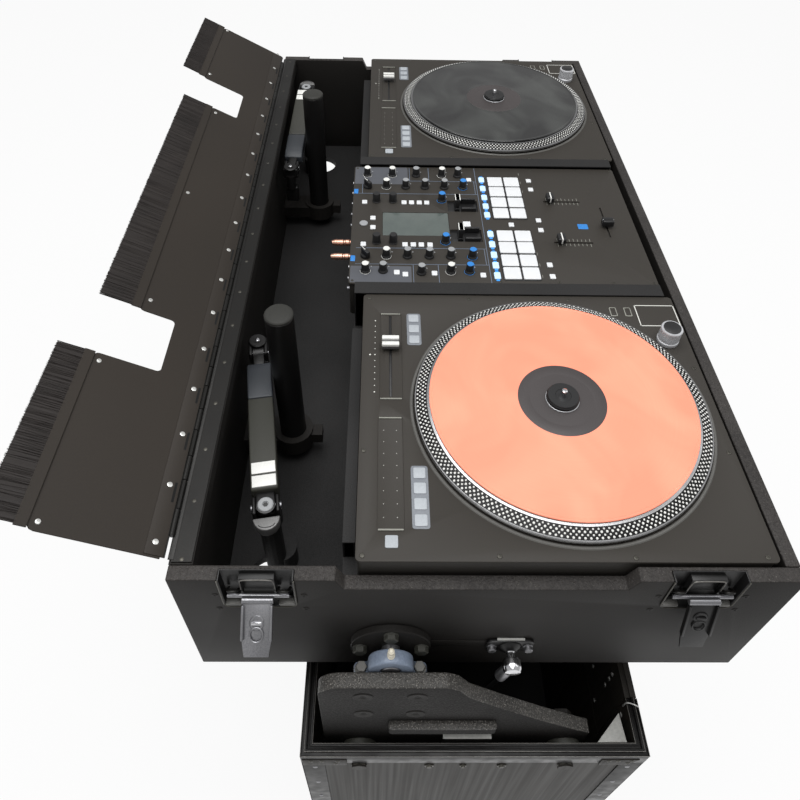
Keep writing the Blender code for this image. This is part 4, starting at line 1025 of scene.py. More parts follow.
@operator
class CONSOLECASE_OT_mixer_body(bpy.types.Operator):
    """The mixer's housing with its tinted zones, screen, slots and marks"""
    bl_idname = "consolecase.mixer_body"
    bl_label = "Mixer housing"

    def execute(self, context):
        self.housing()
        self.prints()
        self.cradles()
        return {"FINISHED"}

    def housing(self):
        tub = tile(1 - MIXER_HALF, MIXER_HALF - 1, MIXER_FRONT + 1, MIXER_REAR - 1, 4,
                   SHELF_TOP + 0.3 - MIXER_TOP, -3, 0.8)
        plate = tile(-MIXER_HALF, MIXER_HALF, MIXER_FRONT, MIXER_REAR, 4, -3.4, -0.2)
        cut(plate,
            *[block((x - 1.4, -205, -8), (x + 1.4, -148, 5), 0) for x in (-FADER_X, FADER_X)],
            block((-36, -234.8, -8), (36, -232.2, 5), 0),
            *[block((x - 14, -44, -2.8), (x + 14, 2, 5), 0) for x in (-PADDLE_X, PADDLE_X)],
            tile(-37.5, 18.5, 2.5, 102.5, 2, -1.2, 2))
        softened(plate, 0.6, 2, 50)
        # painted shade: the tub's sides take the darkened copy of the housing colour
        on_mixer("mixer_housing", [painted(plate, "housing"), painted(tub, "housing side")],
                 node="mixer_chassis")

    def prints(self):
        zones = [tile(low, high, 61.7, 146.5, 2, -0.4, 0.05) for low, high in ((92, 139.5), (-139.5, -105.8))]
        on_mixer("mixer_zones", zones, "zone blue grey")
        lines = [block((x - 0.4, -47, -0.4), (x + 0.4, 140, 0.02), 0) for x in LINES_UP]
        lines += [block((low, y - 0.4, -0.4), (high, y + 0.4, 0.02), 0) for low, high, y in LINES_ACROSS]
        on_mixer("mixer_lines", lines, "thin line")
        on_mixer("mixer_screen", [tile(-36.8, 17.8, 3.2, 101.8, 1.6, -1.3, -0.5, 0.2)], "screen")
        marks = []
        for x in (-FADER_X, FADER_X):
            for index in range(9):
                y = -153 - index * 6.0
                for side in (-1, 1):
                    low, high = aside(x, side, 2.4, 8.9 if index % 4 == 0 else 7.4)
                    marks.append(block((low, y - 0.35, -0.4), (high, y + 0.35, 0.02), 0))
        marks += [block((x - 3, -119.5, -0.4), (x + 3, -118.9, 0.02), 0)
                  for x in (-124, -100, -76, 76, 100, 124)]
        on_mixer("mixer_fader_marks", marks, "print grey")
        plates = [tile(x - 6, x + 6, 140.5, 147, 0.8, -0.3, 0.35, 0.2) for x in (71.6, -90.1)]
        plates.append(tile(-18, -6, -205, -190, 0.8, -0.3, 0.2, 0.15))
        on_mixer("mixer_name_plates", plates, "cap blue")

    def cradles(self):
        screws = copies(screw(2.0, 0.8, 12), [(x, y, -0.25) for x in (-136, 136)
                                              for y in (143, 20, -60, -140, -215, -271)])
        on_mixer("mixer_screws", screws, "dark screw")
        cheeks = []
        for x in (-PADDLE_X, PADDLE_X):
            cheeks.append(block((x - 13.9, -43.9, -3.1), (x + 13.9, 1.9, -2.7), 0.1))
            cheeks += [block((x + a, -41, -2.8), (x + a + 3.8, -18, 6), 1.2, 3) for a in (-13.7, 9.9)]
        on_mixer("mixer_paddle_cradles", cheeks, "black plastic")
        slots = [block((x - 1.3, -204.8, -6.5), (x + 1.3, -148.2, -3.3), 0.2) for x in (-FADER_X, FADER_X)]
        slots.append(block((-35.8, -234.6, -6.5), (35.8, -232.4, -3.3), 0.2))
        on_mixer("mixer_slot_floors", slots, "black plastic")


@operator
class CONSOLECASE_OT_mixer_knobs(bpy.types.Operator):
    """The mixer's rotary knobs, in their rows"""
    bl_idname = "consolecase.mixer_knobs"
    bl_label = "Mixer knobs"

    def execute(self, context):
        tall = settings().knob_height / MM
        chance = random.Random(7)
        bodies, caps = [], {"cap white": [], "cap grey": [], "cap blue": []}
        for x, y, tint in ROUND_KNOBS:
            place = at((x, y, 0), chance.uniform(-25, 25) - 90)
            skirt = turned([(6.9, 0), (6.9, 1), (6.2, 2.4), (5.4, 3.2), (5.2, tall - 1.6), (4.7, tall - 0.6)],
                           24)
            bodies.append(moved(skirt, place))
            parts = [turned([(4.8, tall - 1.2), (4.75, tall - 0.5), (4.3, tall - 0.05)], 24),
                     block((3.6, -0.75, tall - 0.4), (5.35, 0.75, tall - 0.1), 0.15),
                     block((4.9, -0.7, 3.6), (5.55, 0.7, tall - 0.3), 0.15)]
            if tint != "cap grey":
                parts.append(turned([(7.3, -0.1), (7.3, 0.25), (6.7, 0.35)], 24))
            caps[tint] += [moved(piece, place) for piece in parts]
        for x, y in BLACK_KNOBS:
            body = turned([(6.4, 0), (6.4, 1), (5.8, 1.6), (5.6, tall - 1.2), (5, tall - 0.1)], 24)
            bodies.append(moved(body, at((x, y, 0))))
        for x, y in POINTER_KNOBS:
            place = at((x, y, 0), 35)
            bar = slab([(-8.5, -2.6), (6, -3), (9, 0), (6, 3), (-8.5, 2.6)], "z", 2, tall - 3, 0.6)
            bodies += [moved(turned([(6.9, 0), (6.9, 3), (6.3, 4)], 24), place), moved(bar, place)]
            caps["cap white"].append(moved(block((0, -0.5, tall - 3.2), (8.2, 0.5, tall - 2.8), 0.1), place))
        on_mixer("mixer_knob_bodies", bodies, "knob rubber")
        for tint, parts in caps.items():
            on_mixer("mixer_knob_" + tint.replace(" ", "_") + "s", parts, tint)
        return {"FINISHED"}


@operator
class CONSOLECASE_OT_mixer_keys(bpy.types.Operator):
    """Performance pads, lit mode keys, small keys and lamps"""
    bl_idname = "consolecase.mixer_keys"
    bl_label = "Mixer pads and keys"

    def execute(self, context):
        rise = settings().pad_rise / MM
        beds = [tile(min(columns) - 13.6, max(columns) + 13.6, -117.4, -64.6, 3, -0.4, 0.5, 0.3)
                for columns in (PAD_COLUMNS[:4], PAD_COLUMNS[4:])]
        pads = [key(x, y, 12.2, 11.8, 1.8, 0.3, rise, 0.7, 3) for x in PAD_COLUMNS for y in (-77.8, -104.2)]
        modes = [tile(x - 6.6, x + 6.6, -61, -52.2, 1.2, -0.3, 1.5, 0.4) for x in MODE_KEYS]
        lamps = [key(x + away, -56.7, 1.3, 2.3, 0.6, -0.3, 0.5, 0.1) for x in MODE_KEYS for away in (-8.6, 8.6)]
        keys = [key(x, y, 4.6, 3.9, 1, -0.3, 1.6, 0.4) for x, y in SMALL_KEYS]
        keys.append(tile(-16.5, -4.3, -29.2, -18, 1.2, -0.3, 1.6, 0.4))
        studs = [turned([(6.2, -0.2), (6.2, 0.9), (5.4, 1.4)], 24, (-9.9, 130.2, 0))]
        studs += [turned([(1, -0.2), (1, 0.3), (0.6, 0.6)], 10, (x + 9.4, y - 8, 0))
                  for x, y, _ in ROUND_KNOBS]
        on_mixer("mixer_pad_beds", beds, "black plastic")
        for name, parts, finish_name in (("pads", pads, "pad rubber"), ("mode_keys", modes, "lit key"),
                                         ("mode_lamps", lamps, "blue lamp"), ("small_keys", keys, "pad rubber"),
                                         ("studs", studs, "cap grey")):
            on_mixer(f"mixer_{name}", parts, finish_name)
        return {"FINISHED"}


@operator
class CONSOLECASE_OT_mixer_levers(bpy.types.Operator):
    """Channel faders, crossfader and the two effect paddles"""
    bl_idname = "consolecase.mixer_levers"
    bl_label = "Mixer faders and paddles"

    def execute(self, context):
        for end, sign in ENDS:
            self.channel(end, sign * FADER_X)
        cap = coated((block((-16.5, -242, 3), (-4.5, -225, 13), 1.6, 3), "black plastic"),
                     (block((-11.1, -242.05, 5), (-9.9, -224.95, 13), 0.4), "cap grey"),
                     (block((-13, -234.5, -5), (-8, -232.5, 4), 0.2), "black plastic"))
        on_mixer("crossfader_cap", [cap], node="crossfader", body="crossfader")
        for end, sign in ENDS:
            self.paddle(end, sign * PADDLE_X)
        plug = ((4.2, 0.3), (4.2, 3), (5, 4), (5, 9), (4.4, 10), (4.4, 12), (5, 13), (5, 24), (3.6, 29.5))
        plugs = [turned(plug, 20, (x, MIXER_REAR - 0.5, -23), REARWARD) for x in (-27.7, -59.8)]
        on_mixer("mixer_plugs", plugs, "copper plug")
        jacks = [turned([(3.2, 0), (3.2, 4), (2.2, 4.2)], 16, (x, MIXER_REAR - 1.5, -22), REARWARD)
                 for x in (-128, -108, -84, 12, 40, 68, 96, 124)]
        on_mixer("mixer_jacks", jacks, "satin chrome")
        return {"FINISHED"}

    def channel(self, end, x):
        cap = coated((block((x - 8, -163, 3), (x + 8, -151.5, 12), 1.8, 3), "black plastic"),
                     (block((x - 8.1, -158.4, 4), (x + 8.1, -156.4, 12.3), 0.4), "cap white"),
                     (block((x - 1.1, -160, -5), (x + 1.1, -154.5, 4), 0.2), "black plastic"))
        on_mixer(f"channel_cap_{end}", [cap], node=f"channel_fader_{end}",
                 body=f"channel_fader_{end}")

    def paddle(self, end, x):
        blade = slab([(-14, -1), (-10, -1), (-7.4, 16), (-8.6, 17), (-15.6, 17), (-16.6, 16)], "x",
                     x - 9, x + 9, 0.7)
        lever = coated((rod((x - 11, -12, -1), (x + 11, -12, -1), 3.8, 16, 0.4), "black plastic"),
                       (blade, "black plastic"),
                       (block((x - 8, -16.2, 16.2), (x + 8, -8, 17), 0.25), "cap white"))
        on_mixer(f"paddle_{end}", [lever], node=f"effect_paddle_{end}",
                 body=f"effect_paddle_{end}")


@operator
class CONSOLECASE_OT_tray_trim(bpy.types.Operator):
    """Top edges of the console tray with painted light (a lighter coat with painted glints), rails beside the
    mixer, foam rests and screws
    """
    bl_idname = "consolecase.tray_trim"
    bl_label = "Tray trim"

    def execute(self, context):
        inner = HALF_LENGTH - PANEL
        for end, sign in ENDS:
            self.end_panel(end, sign, inner)
        front = block((0.3 - inner, -HALF_DEPTH, TRAY_BOTTOM), (inner - 0.3, PANEL - HALF_DEPTH, TRAY_TOP),
                      1.6, 3)
        # painted light: the panel's top takes the lighter lit-top coat
        dress(painted(front, "panel coat", "edge coat"), "front_panel", "console",
              node="console_front_panel")
        rails = [end_block(sign, MIXER_HALF + 1.5, DECK_X - DECK_WIDTH / 2 - 0.6, RAIL_FRONT, RAIL_REAR,
                           SHELF_TOP + 0.1, DECK_TOP + 1.98, 1.6, 3) for _, sign in ENDS]
        # painted light: the rails' tops take the lighter lit-top coat
        dress(painted(joined(rails), "panel coat", "edge coat"), "mixer_side_rails", "console")
        rests = [block((sign * DECK_X + low, DECK_REAR + 1.4, SHELF_TOP + 0.1),
                       (sign * DECK_X + high, REST_REAR, top), 2, 3)
                 for _, sign in ENDS for low, high, top in ((-150, -2, 899.9), (2, 150, 894.9))]
        dress(rests, "deck_foam_rests", "console", "foam")
        heads = [facing_out(sign, HALF_LENGTH - 0.2, y, z) for y in (-170, -256, 176, 262) for z in (893, 862)
                 for _, sign in ENDS]
        dress(copies(screw(3.4, 1, 16), heads), "end_panel_screws", "console",
              "panel coat")
        return {"FINISHED"}

    def end_panel(self, end, sign, inner):
        hump_foot = HUMP_START - 8
        outline = [(-HALF_DEPTH, TRAY_BOTTOM), (HALF_DEPTH, TRAY_BOTTOM), (HALF_DEPTH, TRAY_TOP),
                   (HUMP_START, TRAY_TOP), (hump_foot, BAND_TOP), (-hump_foot, BAND_TOP),
                   (-HUMP_START, TRAY_TOP), (-HALF_DEPTH, TRAY_TOP)]
        panel = slab(outline, "x", *span(sign, inner, HALF_LENGTH))
        for _, y in LATCH_ROWS:
            dish = rounded(y - DISH_HALF, y + DISH_HALF, DISH_BOTTOM, TRAY_TOP + 10, 8, 6)
            cut(panel, slab(dish, "x", *span(sign, HALF_LENGTH - DISH_DEPTH, HALF_LENGTH + 5)))
        softened(panel, 1.4, 3, 40)
        # painted light: the panel's tops take the lighter lit-top coat
        dress(painted(panel, "panel coat", "edge coat"), f"end_panel_{end}", "console",
              node=f"console_end_panel_{end}")


@operator
class CONSOLECASE_OT_latches(bpy.types.Operator):
    """The four recessed latches: dish, catch plate, wire loops and the hanging lever with its ring"""
    bl_idname = "consolecase.latches"
    bl_label = "Latches"

    def execute(self, context):
        for end, sign in ENDS:
            for row, y in LATCH_ROWS:
                self.dish(f"{end}_{row}", sign, y)
                self.lever(f"{end}_{row}", sign, y, row)
        return {"FINISHED"}

    def dish(self, name, sign, y):
        wall, back = HALF_LENGTH, HALF_LENGTH - DISH_DEPTH
        low, high = y - DISH_HALF, y + DISH_HALF
        liner = slab(rounded(low + 0.1, high - 0.1, DISH_BOTTOM + 0.1, TRAY_TOP + 12, 8, 6), "x",
                     *span(sign, back + 0.05, wall + 0.6))
        cut(liner, slab(rounded(low + 1.6, high - 1.6, DISH_BOTTOM + 1.6, TRAY_TOP + 30, 6.6, 6), "x",
                        *span(sign, back + 1.2, wall + 5)),
            end_block(sign, wall - 20, wall + 10, y - 60, y + 60, TRAY_TOP + 0.6, TRAY_TOP + 40, 0))
        edge = [(low, TRAY_TOP - 1), *arc(low + 8, DISH_BOTTOM + 8, 8, 180, 270, 4),
                *arc(high - 8, DISH_BOTTOM + 8, 8, 270, 360, 4), (high, TRAY_TOP - 1)]
        hoop = ((-16.4, 900), (-16.4, 917), (-14, 920.4), (14, 920.4), (16.4, 917), (16.4, 900))
        parts = [(softened(liner, 0.4, 2, 40), "black steel")]
        # painted highlights: light grey pads at the dish's bottom corners stand for the light on its rolled
        # lower edges
        parts += [(end_block(sign, wall - 6, wall + 1.6, *aside(y, side, 17.5, 35), DISH_BOTTOM + 2,
                             DISH_BOTTOM + 7.5, 2.4), "well ring") for side in (-1, 1)]
        # painted highlights: a lighter wire along the dish's rolled rim and a light wire along the catch
        # plate's edge
        parts += [(wire([(sign * (wall + 0.7), *spot) for spot in edge], 0.9, 6), "dark screw"),
                  (wire([(sign * (back + 8.6), y + a, b) for a, b in hoop], 0.7, 6), "rim edge")]
        plates = [end_block(sign, back + 1, back + 3, y - 17, y + 17, 888.5, 921)]
        plates += [end_block(sign, back + 1, back + 8.5, *aside(y, side, 15.2, 17.2), 889, 920, 0.5)
                   for side in (-1, 1)]
        plates.append(end_block(sign, back + 1, back + 8, y - 17, y + 17, 919.2, 921, 0.5))
        plates += copies(rivet(2.6, 1.4), [facing_out(sign, back + 2.9, y + a, z)
                                           for a, z in ((-10, 914), (10, 914), (0, 908))])
        parts += [(plate, "black steel") for plate in plates]
        pin_x = sign * (wall + 0.4)
        parts.append((rod((pin_x, y - 30, 893.5), (pin_x, y + 30, 893.5), 2.2, 12, 0.3), "satin chrome"))
        half_loop = ((back + 3, 5.5, 892), (wall - 2, 5.5, 900), (wall + 1, 3, 903))
        for side in (-1, 1):
            loop = [(sign * x, y + side * 24.5 - a, z) for x, a, z in half_loop]
            loop += [(sign * x, y + side * 24.5 + a, z) for x, a, z in half_loop[::-1]]
            parts.append((wire(loop, 1.5), "hinge steel"))
        dress(coated(*parts), f"latch_{name}_dish", "console")

    def lever(self, name, sign, y, row):
        """The hanging lever, drawn straight down from its pin and then swung out."""
        steel, wing_steel = LEVER_STEELS[row]
        length, angle = LEVERS[row]
        pin = Vector((sign * (HALF_LENGTH + 5.5), y, LEVER_PIN_Z))
        shoulder = -length * 0.72
        blade = slab([(-14.2, -3), (-14.2, shoulder), (-11.8, -length), (11.8, -length), (14.2, shoulder),
                      (14.2, -3)], "x", -1.2, 1.0, 0.4)
        ring = [(sign * 2.6, a, b) for a, b in self.oval(6.5, 7.0, -31, 12)]
        boss = turned([(7.2, 0), (7.2, 1.2), (6.6, 1.8), (4.4, 1.8), (4, 1.2), (2, 1.2)], 24,
                      (sign * 0.9, 0, -20.5), (sign, 0, 0))
        parts = [(blade, steel)]
        for side in (-1, 1):
            parts.append((end_block(sign, -1.2, 4.2, *aside(0, side, 12.6, 15), -length * 0.7, -4, 0.4), steel))
        parts += [(wire(ring, 0.9, closed=True), steel), (boss, steel),
                  (end_block(sign, 0.8, 4.2, -5.2, 5.2, -22, -19, 0.8), wing_steel)]
        lever = moved(coated(*parts), at(pin) @ Matrix.Rotation(-sign * angle, 4, "Y"))
        reach = Vector((0, 15.2, 0))
        barrel = painted(rod(pin - reach, pin + reach, 3.5, 20, 0.5), "satin chrome")
        dress([lever, barrel], f"latch_{name}_lever", f"latch_lever_{name}",
              node=f"latch_lever_{name}")

    def oval(self, half_width, half_height, middle, count):
        turns = [math.tau * i / count for i in range(count)]
        return [(half_width * math.cos(t), middle + half_height * math.sin(t)) for t in turns]


@operator
class CONSOLECASE_OT_flap(bpy.types.Operator):
    """The rear flap: folded sheet, hinge leaf and knuckles, rivets and screws"""
    bl_idname = "consolecase.flap"
    bl_label = "Rear flap"

    def execute(self, context):
        self.sheet()
        self.hinge()
        ledge = block((2 - FLAP_HALF, FLAP_Y - 6.5, FLAP_Z - 2.9), (FLAP_HALF - 2, FLAP_Y - 0.9, FLAP_Z - 1.7),
                      0.2)
        dress(ledge, "case_hinge_ledge", "console", "hinge steel")
        self.heads("flap_hinge_rivets", rivet(2.9, 0.55),
                   [(x, 13.5, SHEET_HALF + 0.8) for x in self.row(-518, 18)])
        self.heads("flap_holder_screws", screw(2.8, 1.3, 16), [(x, y, SHEET_HALF) for x, y in HOLDER_SCREWS])
        places = [(x, FLAP_Y - 14, FLAP_Z - 2.4) for x in self.row(-530.4, 18)]
        dress(copies(rivet(2.2, 0.5), places), "case_hinge_rivets", "console", "dark screw")
        return {"FINISHED"}

    def row(self, start, count):
        return [start + index * FLAP_PITCH for index in range(count)]

    def heads(self, name, head, places):
        dress(copies(head, places), name, "flap", "screw white", FLAP_PLACE)

    def sheet(self):
        corner = 5.0
        outline = [(-FLAP_HALF, 6), (FLAP_HALF, 6)]
        outline += arc(FLAP_HALF - 8, SIDE_REACH - 8, 8, 0, 90, 3)
        outline += arc(CUTOUT_OUTER + 6, SIDE_REACH - 6, 6, 90, 180, 3)
        outline += arc(CUTOUT_OUTER - corner, CUTOUT_REACH + corner, corner, 0, -90, 4)
        outline += arc(CUTOUT_INNER + corner, CUTOUT_REACH + corner, corner, 270, 180, 4)
        outline += arc(CUTOUT_INNER - 6, MIDDLE_REACH - 6, 6, 0, 90, 3)
        outline += [(-a, b) for a, b in reversed(outline[2:])]
        sheet = softened(slab(outline, "z", -SHEET_HALF, SHEET_HALF), 0.35, 1, 40)
        dress(sheet, "flap_sheet", "flap", "flap sheet", FLAP_PLACE, node="flap_panel")

    def hinge(self):
        end = FLAP_HALF - 2
        knuckles = []
        for x in self.row(-8 * FLAP_PITCH, 17):
            knuckles.append(rod((x - 14, 0, 0), (x + 14, 0, 0), 3, 16, 0.3))
            knuckles.append(block((x - 14, 0, -0.7), (x + 14, 7, 0.9), 0.2))
        # painted shade: thin black strips stand for the shade inside the hinge leaf's slits
        slit_shades = [block((x - 11, 6, SHEET_HALF + 0.6), (x + 11, 8.6, SHEET_HALF + 0.96), 0)
                 for x in self.row(-7.5 * FLAP_PITCH, 16)]
        hinge = coated((block((-end, 3.4, SHEET_HALF - 0.1), (end, 22, SHEET_HALF + 0.9), 0.25), "flap sheet"),
                       (block((-end, 1.4, -0.7), (end, 7, 0.6), 0.2), "hinge steel"),
                       (joined(knuckles), "hinge steel"), (joined(slit_shades), "felt"))
        dress(hinge, "flap_hinge", "flap", place=FLAP_PLACE)


@operator
class CONSOLECASE_OT_brushes(bpy.types.Operator):
    """Three brush strips along the flap: holder and dense bristles"""
    bl_idname = "consolecase.brushes"
    bl_label = "Flap brushes"

    def execute(self, context):
        for name, low, high, edge, length in BRUSHES:
            self.strip(name, low + 1, high - 1, edge, length)
        return {"FINISHED"}

    def strip(self, name, low, high, edge, length):
        chance = random.Random(name)
        bottom = 1.12
        holder = painted(block((low, edge - 1.4, 0.82), (high, edge + 10, bottom + 1.9), 0.5), "flap sheet")
        core = painted(slab([(low + 1.5, edge + 8), (high - 1.5, edge + 8), (high - 2.5, edge + length - 1.6),
                             (low + 2.5, edge + length - 1.6)], "z", bottom + 0.3, bottom + 1.5), "bristle")
        tufts = [self.tuft(chance, bottom, length) for _ in range(5)]
        count = int((high - low) * MM * settings().bristle_tufts)
        step = (high - low - 6) / count
        places = [[], [], [], [], []]
        for index in range(count + 1):
            x = low + 3 + index * step + chance.uniform(-0.6, 0.6)
            flip = -1 if chance.random() < 0.5 else 1
            shape = Matrix.Diagonal((flip, 1 - chance.random() * 0.012, 1, 1))
            places[chance.randrange(5)].append(at((x, edge, 0)) @ shape)
        made = []
        for tuft, where in zip(tufts, places):
            made += copies(tuft, where)
        bristles = outward(painted(joined(made), "bristle"))
        dress([bristles, holder, core], f"brush_{name}", "flap", place=FLAP_PLACE, smooth=0,
              node=f"flap_brush_{name}")

    def tuft(self, chance, bottom, length):
        strands = []
        for _ in range(7):
            root = Vector((chance.uniform(-2.4, 2.4), 8.0, bottom + chance.uniform(0.9, 1.7)))
            along = Vector((chance.gauss(0, 0.6), length - 8.0 + chance.uniform(-1.3, -0.1),
                            chance.uniform(-0.2, 0.2)))
            strands.append(turned([(0.36, 0.0), (0.24, along.length)], 3, root, along))
        return joined(strands)


@operator
class CONSOLECASE_OT_pivots(bpy.types.Operator):
    """Pivot hardware at both ends: hub bolts, grease nipple, bearing bolts and the strut's ball joint"""
    bl_idname = "consolecase.pivots"
    bl_label = "Pivot hardware"

    def execute(self, context):
        for end, sign in ENDS:
            self.arm(end, sign)
            self.bearing(end, sign)
            self.hub(end, sign)
        return {"FINISHED"}

    def arm(self, end, sign):
        outline = [(-150, 546), (167, 546), (167, 758), *arc(141, 758, 26, 0, 90, 6)[1:], *ARM_OUTLINE]
        plate = softened(slab(outline, "x", *span(sign, ARM_INNER, ARM_OUTER)), 1.8, 3, 25)
        rib = end_block(sign, ARM_OUTER - 1, ARM_OUTER + 9, -33, 91, 652, 676, 4.0)
        pad = end_block(sign, ARM_OUTER - 1, ARM_OUTER + 5, -33, 25, 590, 621, 0.8)
        # painted light: the plate's and rib's tops take the lighter lit-top coat and the pad's top a light
        # grey, where the light from above falls
        parts = [painted(plate, "rough coat", "bright coat"), painted(rib, "rough coat", "bright coat"),
                 painted(pad, "rough coat", "gusset")]
        for y in (-124.5, 124.5):
            spacer = turned([(19.4, 0), (20, 0.6), (20, 8.6), (19.4, 9.4)], 32, (sign * ARM_OUTER, y, 587),
                            (sign, 0, 0))
            parts.append(painted(spacer, "arm paint"))
        rest = [moved(hex_head(radius, 9.5, 1.2), at((sign * ARM_INNER, y, z), -90 * sign, "Y"))
                for y, z, radius in ((-119, 617, 15), (124.5, 581, 11))]
        rest.append(end_block(sign, 567, ARM_INNER + 1, PIVOT_Y - 40, PIVOT_Y + 40, PIVOT_Z - 44,
                              PIVOT_Z - 24.3, 0.8))
        for y in (PIVOT_Y - 29, PIVOT_Y + 29):
            for z in (757, 700):
                head = turned([(11, -0.5), (11, 0.6), (10, 1.1), (6, 0.7), (3.4, 0.3), (2.4, -0.4)], 24)
                rest.append(moved(head, facing_out(sign, ARM_OUTER, y, z)))
        parts += [painted(item, "panel coat") for item in rest]
        dress(parts, f"arm_plate_{end}", "base", node=f"pivot_arm_{end}")

    def bearing(self, end, sign):
        low, high = 567.5, 582.5
        foot = PIVOT_Z - 24.0
        half = [(40, foot), (38, foot + 9), (26, foot + 12)]
        outline = [(PIVOT_Y - 40, foot), *[(PIVOT_Y + a, b) for a, b in half],
                   *arc(PIVOT_Y, PIVOT_Z, 24, -10, 190, 16), *[(PIVOT_Y - a, b) for a, b in half[:0:-1]]]
        body = slab(outline, "x", *span(sign, low, high))
        cut(body, rod((sign * (low - 5), PIVOT_Y, PIVOT_Z), (sign * (high + 5), PIVOT_Y, PIVOT_Z), 10.6, 40))
        softened(body, 2.2, 3, 25)
        middle = sign * (low + high) / 2
        bolts = copies(hex_head(6.4, 8.5, 1.15), [(middle, PIVOT_Y + a, foot + 9.5) for a in (-31, 31)])
        nipple = turned([(3.8, 0), (4.2, 3.6), (2.4, 4.6), (2.4, 5.4), (4, 6.8), (4, 9.2), (2.2, 10.4),
                         (2.2, 11.2), (3.6, 12.4), (3.4, 15), (1.6, 16.4)], 16,
                        (middle, PIVOT_Y, PIVOT_Z + 21.5))
        whole = coated((body, "bearing paint"), *[(bolt, "well ring") for bolt in bolts],
                       (nipple, "nipple metal"))
        dress(whole, f"bearing_{end}", "base", node=f"pillow_bearing_{end}")

    def hub(self, end, sign):
        wall = HALF_LENGTH
        y, z = STRUT_HEAD
        flange = turned([(42.4, 0.3), (43, 1), (43, 7), (42.2, 8), (24, 8), (22, 8.6), (12, 8.6)], 64,
                        (sign * wall, PIVOT_Y, PIVOT_Z), (sign, 0, 0))
        shaft = rod((sign * (wall + 7), PIVOT_Y, PIVOT_Z), (sign * (ARM_INNER - 0.8), PIVOT_Y, PIVOT_Z), 10, 32,
                    0.8)
        strap = slab(rounded(y - 26, y + 26, z - 13, z + 13, 6), "x", *span(sign, wall + 0.3, wall + 4), 0.8)
        cup = turned([(13, 3), (13, 5), (11, 7), (8, 8.4), (6, 10)], 32, (sign * wall, y, z), (sign, 0, 0))
        stud = turned([(5, 9.5), (4, 11), (4, 12.5), (5, 16)], 20, (sign * wall, y, z), (sign, 0, 0))
        heads = copies(hex_head(7.6, 6.8, 1.05), [facing_out(sign, wall + 7.8, PIVOT_Y + a, PIVOT_Z + b)
                                                  for a, b in ((33, 0), (0, 33), (-33, 0), (0, -33))])
        bolts = copies(turned([(5.6, 0), (5.6, 1), (4.8, 1.4), (4.8, 5), (4, 5.8)], 20),
                       [facing_out(sign, wall + 3.6, y + a, z) for a in (-20, 20)])
        parts = [
            (flange, "panel coat"), (shaft, "satin chrome"), *[(head, "arm paint") for head in heads],
            (strap, "black steel"),
            (end_block(sign, wall + 0.3, wall + 0.8, y + 20, PIVOT_Y - 40, z - 8, z + 8, 0.1), "panel coat"),
            (end_block(sign, wall + 0.3, wall + 2.6, y - 15, y + 15, z + 12.6, z + 15, 0.3), "gusset"),
            (cup, "black steel"), (stud, "polished chrome"), *[(bolt, "satin chrome") for bolt in bolts]]
        dress(coated(*parts), f"hub_{end}", "console", node=f"pivot_hub_{end}")


@operator
class CONSOLECASE_OT_struts(bpy.types.Operator):
    """Gas struts: lacquered cylinder with its collar, polished rod and ball sockets"""
    bl_idname = "consolecase.struts"
    bl_label = "Gas struts"

    def execute(self, context):
        for end, sign in ENDS:
            foot = Vector((sign * STRUT_X, *STRUT_FOOT))
            head = Vector((sign * STRUT_X, *STRUT_HEAD))
            self.cylinder(end, foot, (head - foot).normalized())
            self.piston(end, sign, foot, head, (head - foot).normalized())
        return {"FINISHED"}

    def cylinder(self, end, foot, along):
        tube = turned([(6, 14), (8.6, 16), (9, 18), (9, 200), (8.4, 203), (5.5, 205)], 32, foot, along)
        cut(tube, rod(foot + along * 40, foot + along * 215, 4.7, 24))
        eye = turned([(9.6, -7), (10, -6.4), (10, 6.4), (9.6, 7)], 32, foot, (1, 0, 0))
        cut(eye, rod(foot - Vector((12, 0, 0)), foot + Vector((12, 0, 0)), 5.5, 24))
        neck = rod(foot + along * 9, foot + along * 18, 5, 20)
        dress([tube, eye, neck], f"strut_tube_{end}", f"strut_cylinder_{end}", "black steel",
              node=f"gas_strut_cylinder_{end}")

    def piston(self, end, sign, foot, head, along):
        reach = (head - foot).length
        whole = coated(
            (rod(foot + along * 178, foot + along * (reach - 6), 4, 24, 0.4), "polished chrome"),
            (turned([(5.6, reach - 34), (6.5, reach - 33), (6.5, reach - 8), (6, reach - 5)], 24, foot, along),
             "satin chrome"),
            (turned([(8.6, -5.8), (9.8, -4), (10, 0), (9.8, 5), (8.4, 7.6), (5, 7.9)], 32, head, (sign, 0, 0)),
             "polished chrome"))
        dress(whole, f"strut_piston_{end}", f"strut_rod_{end}", node=f"gas_strut_rod_{end}")


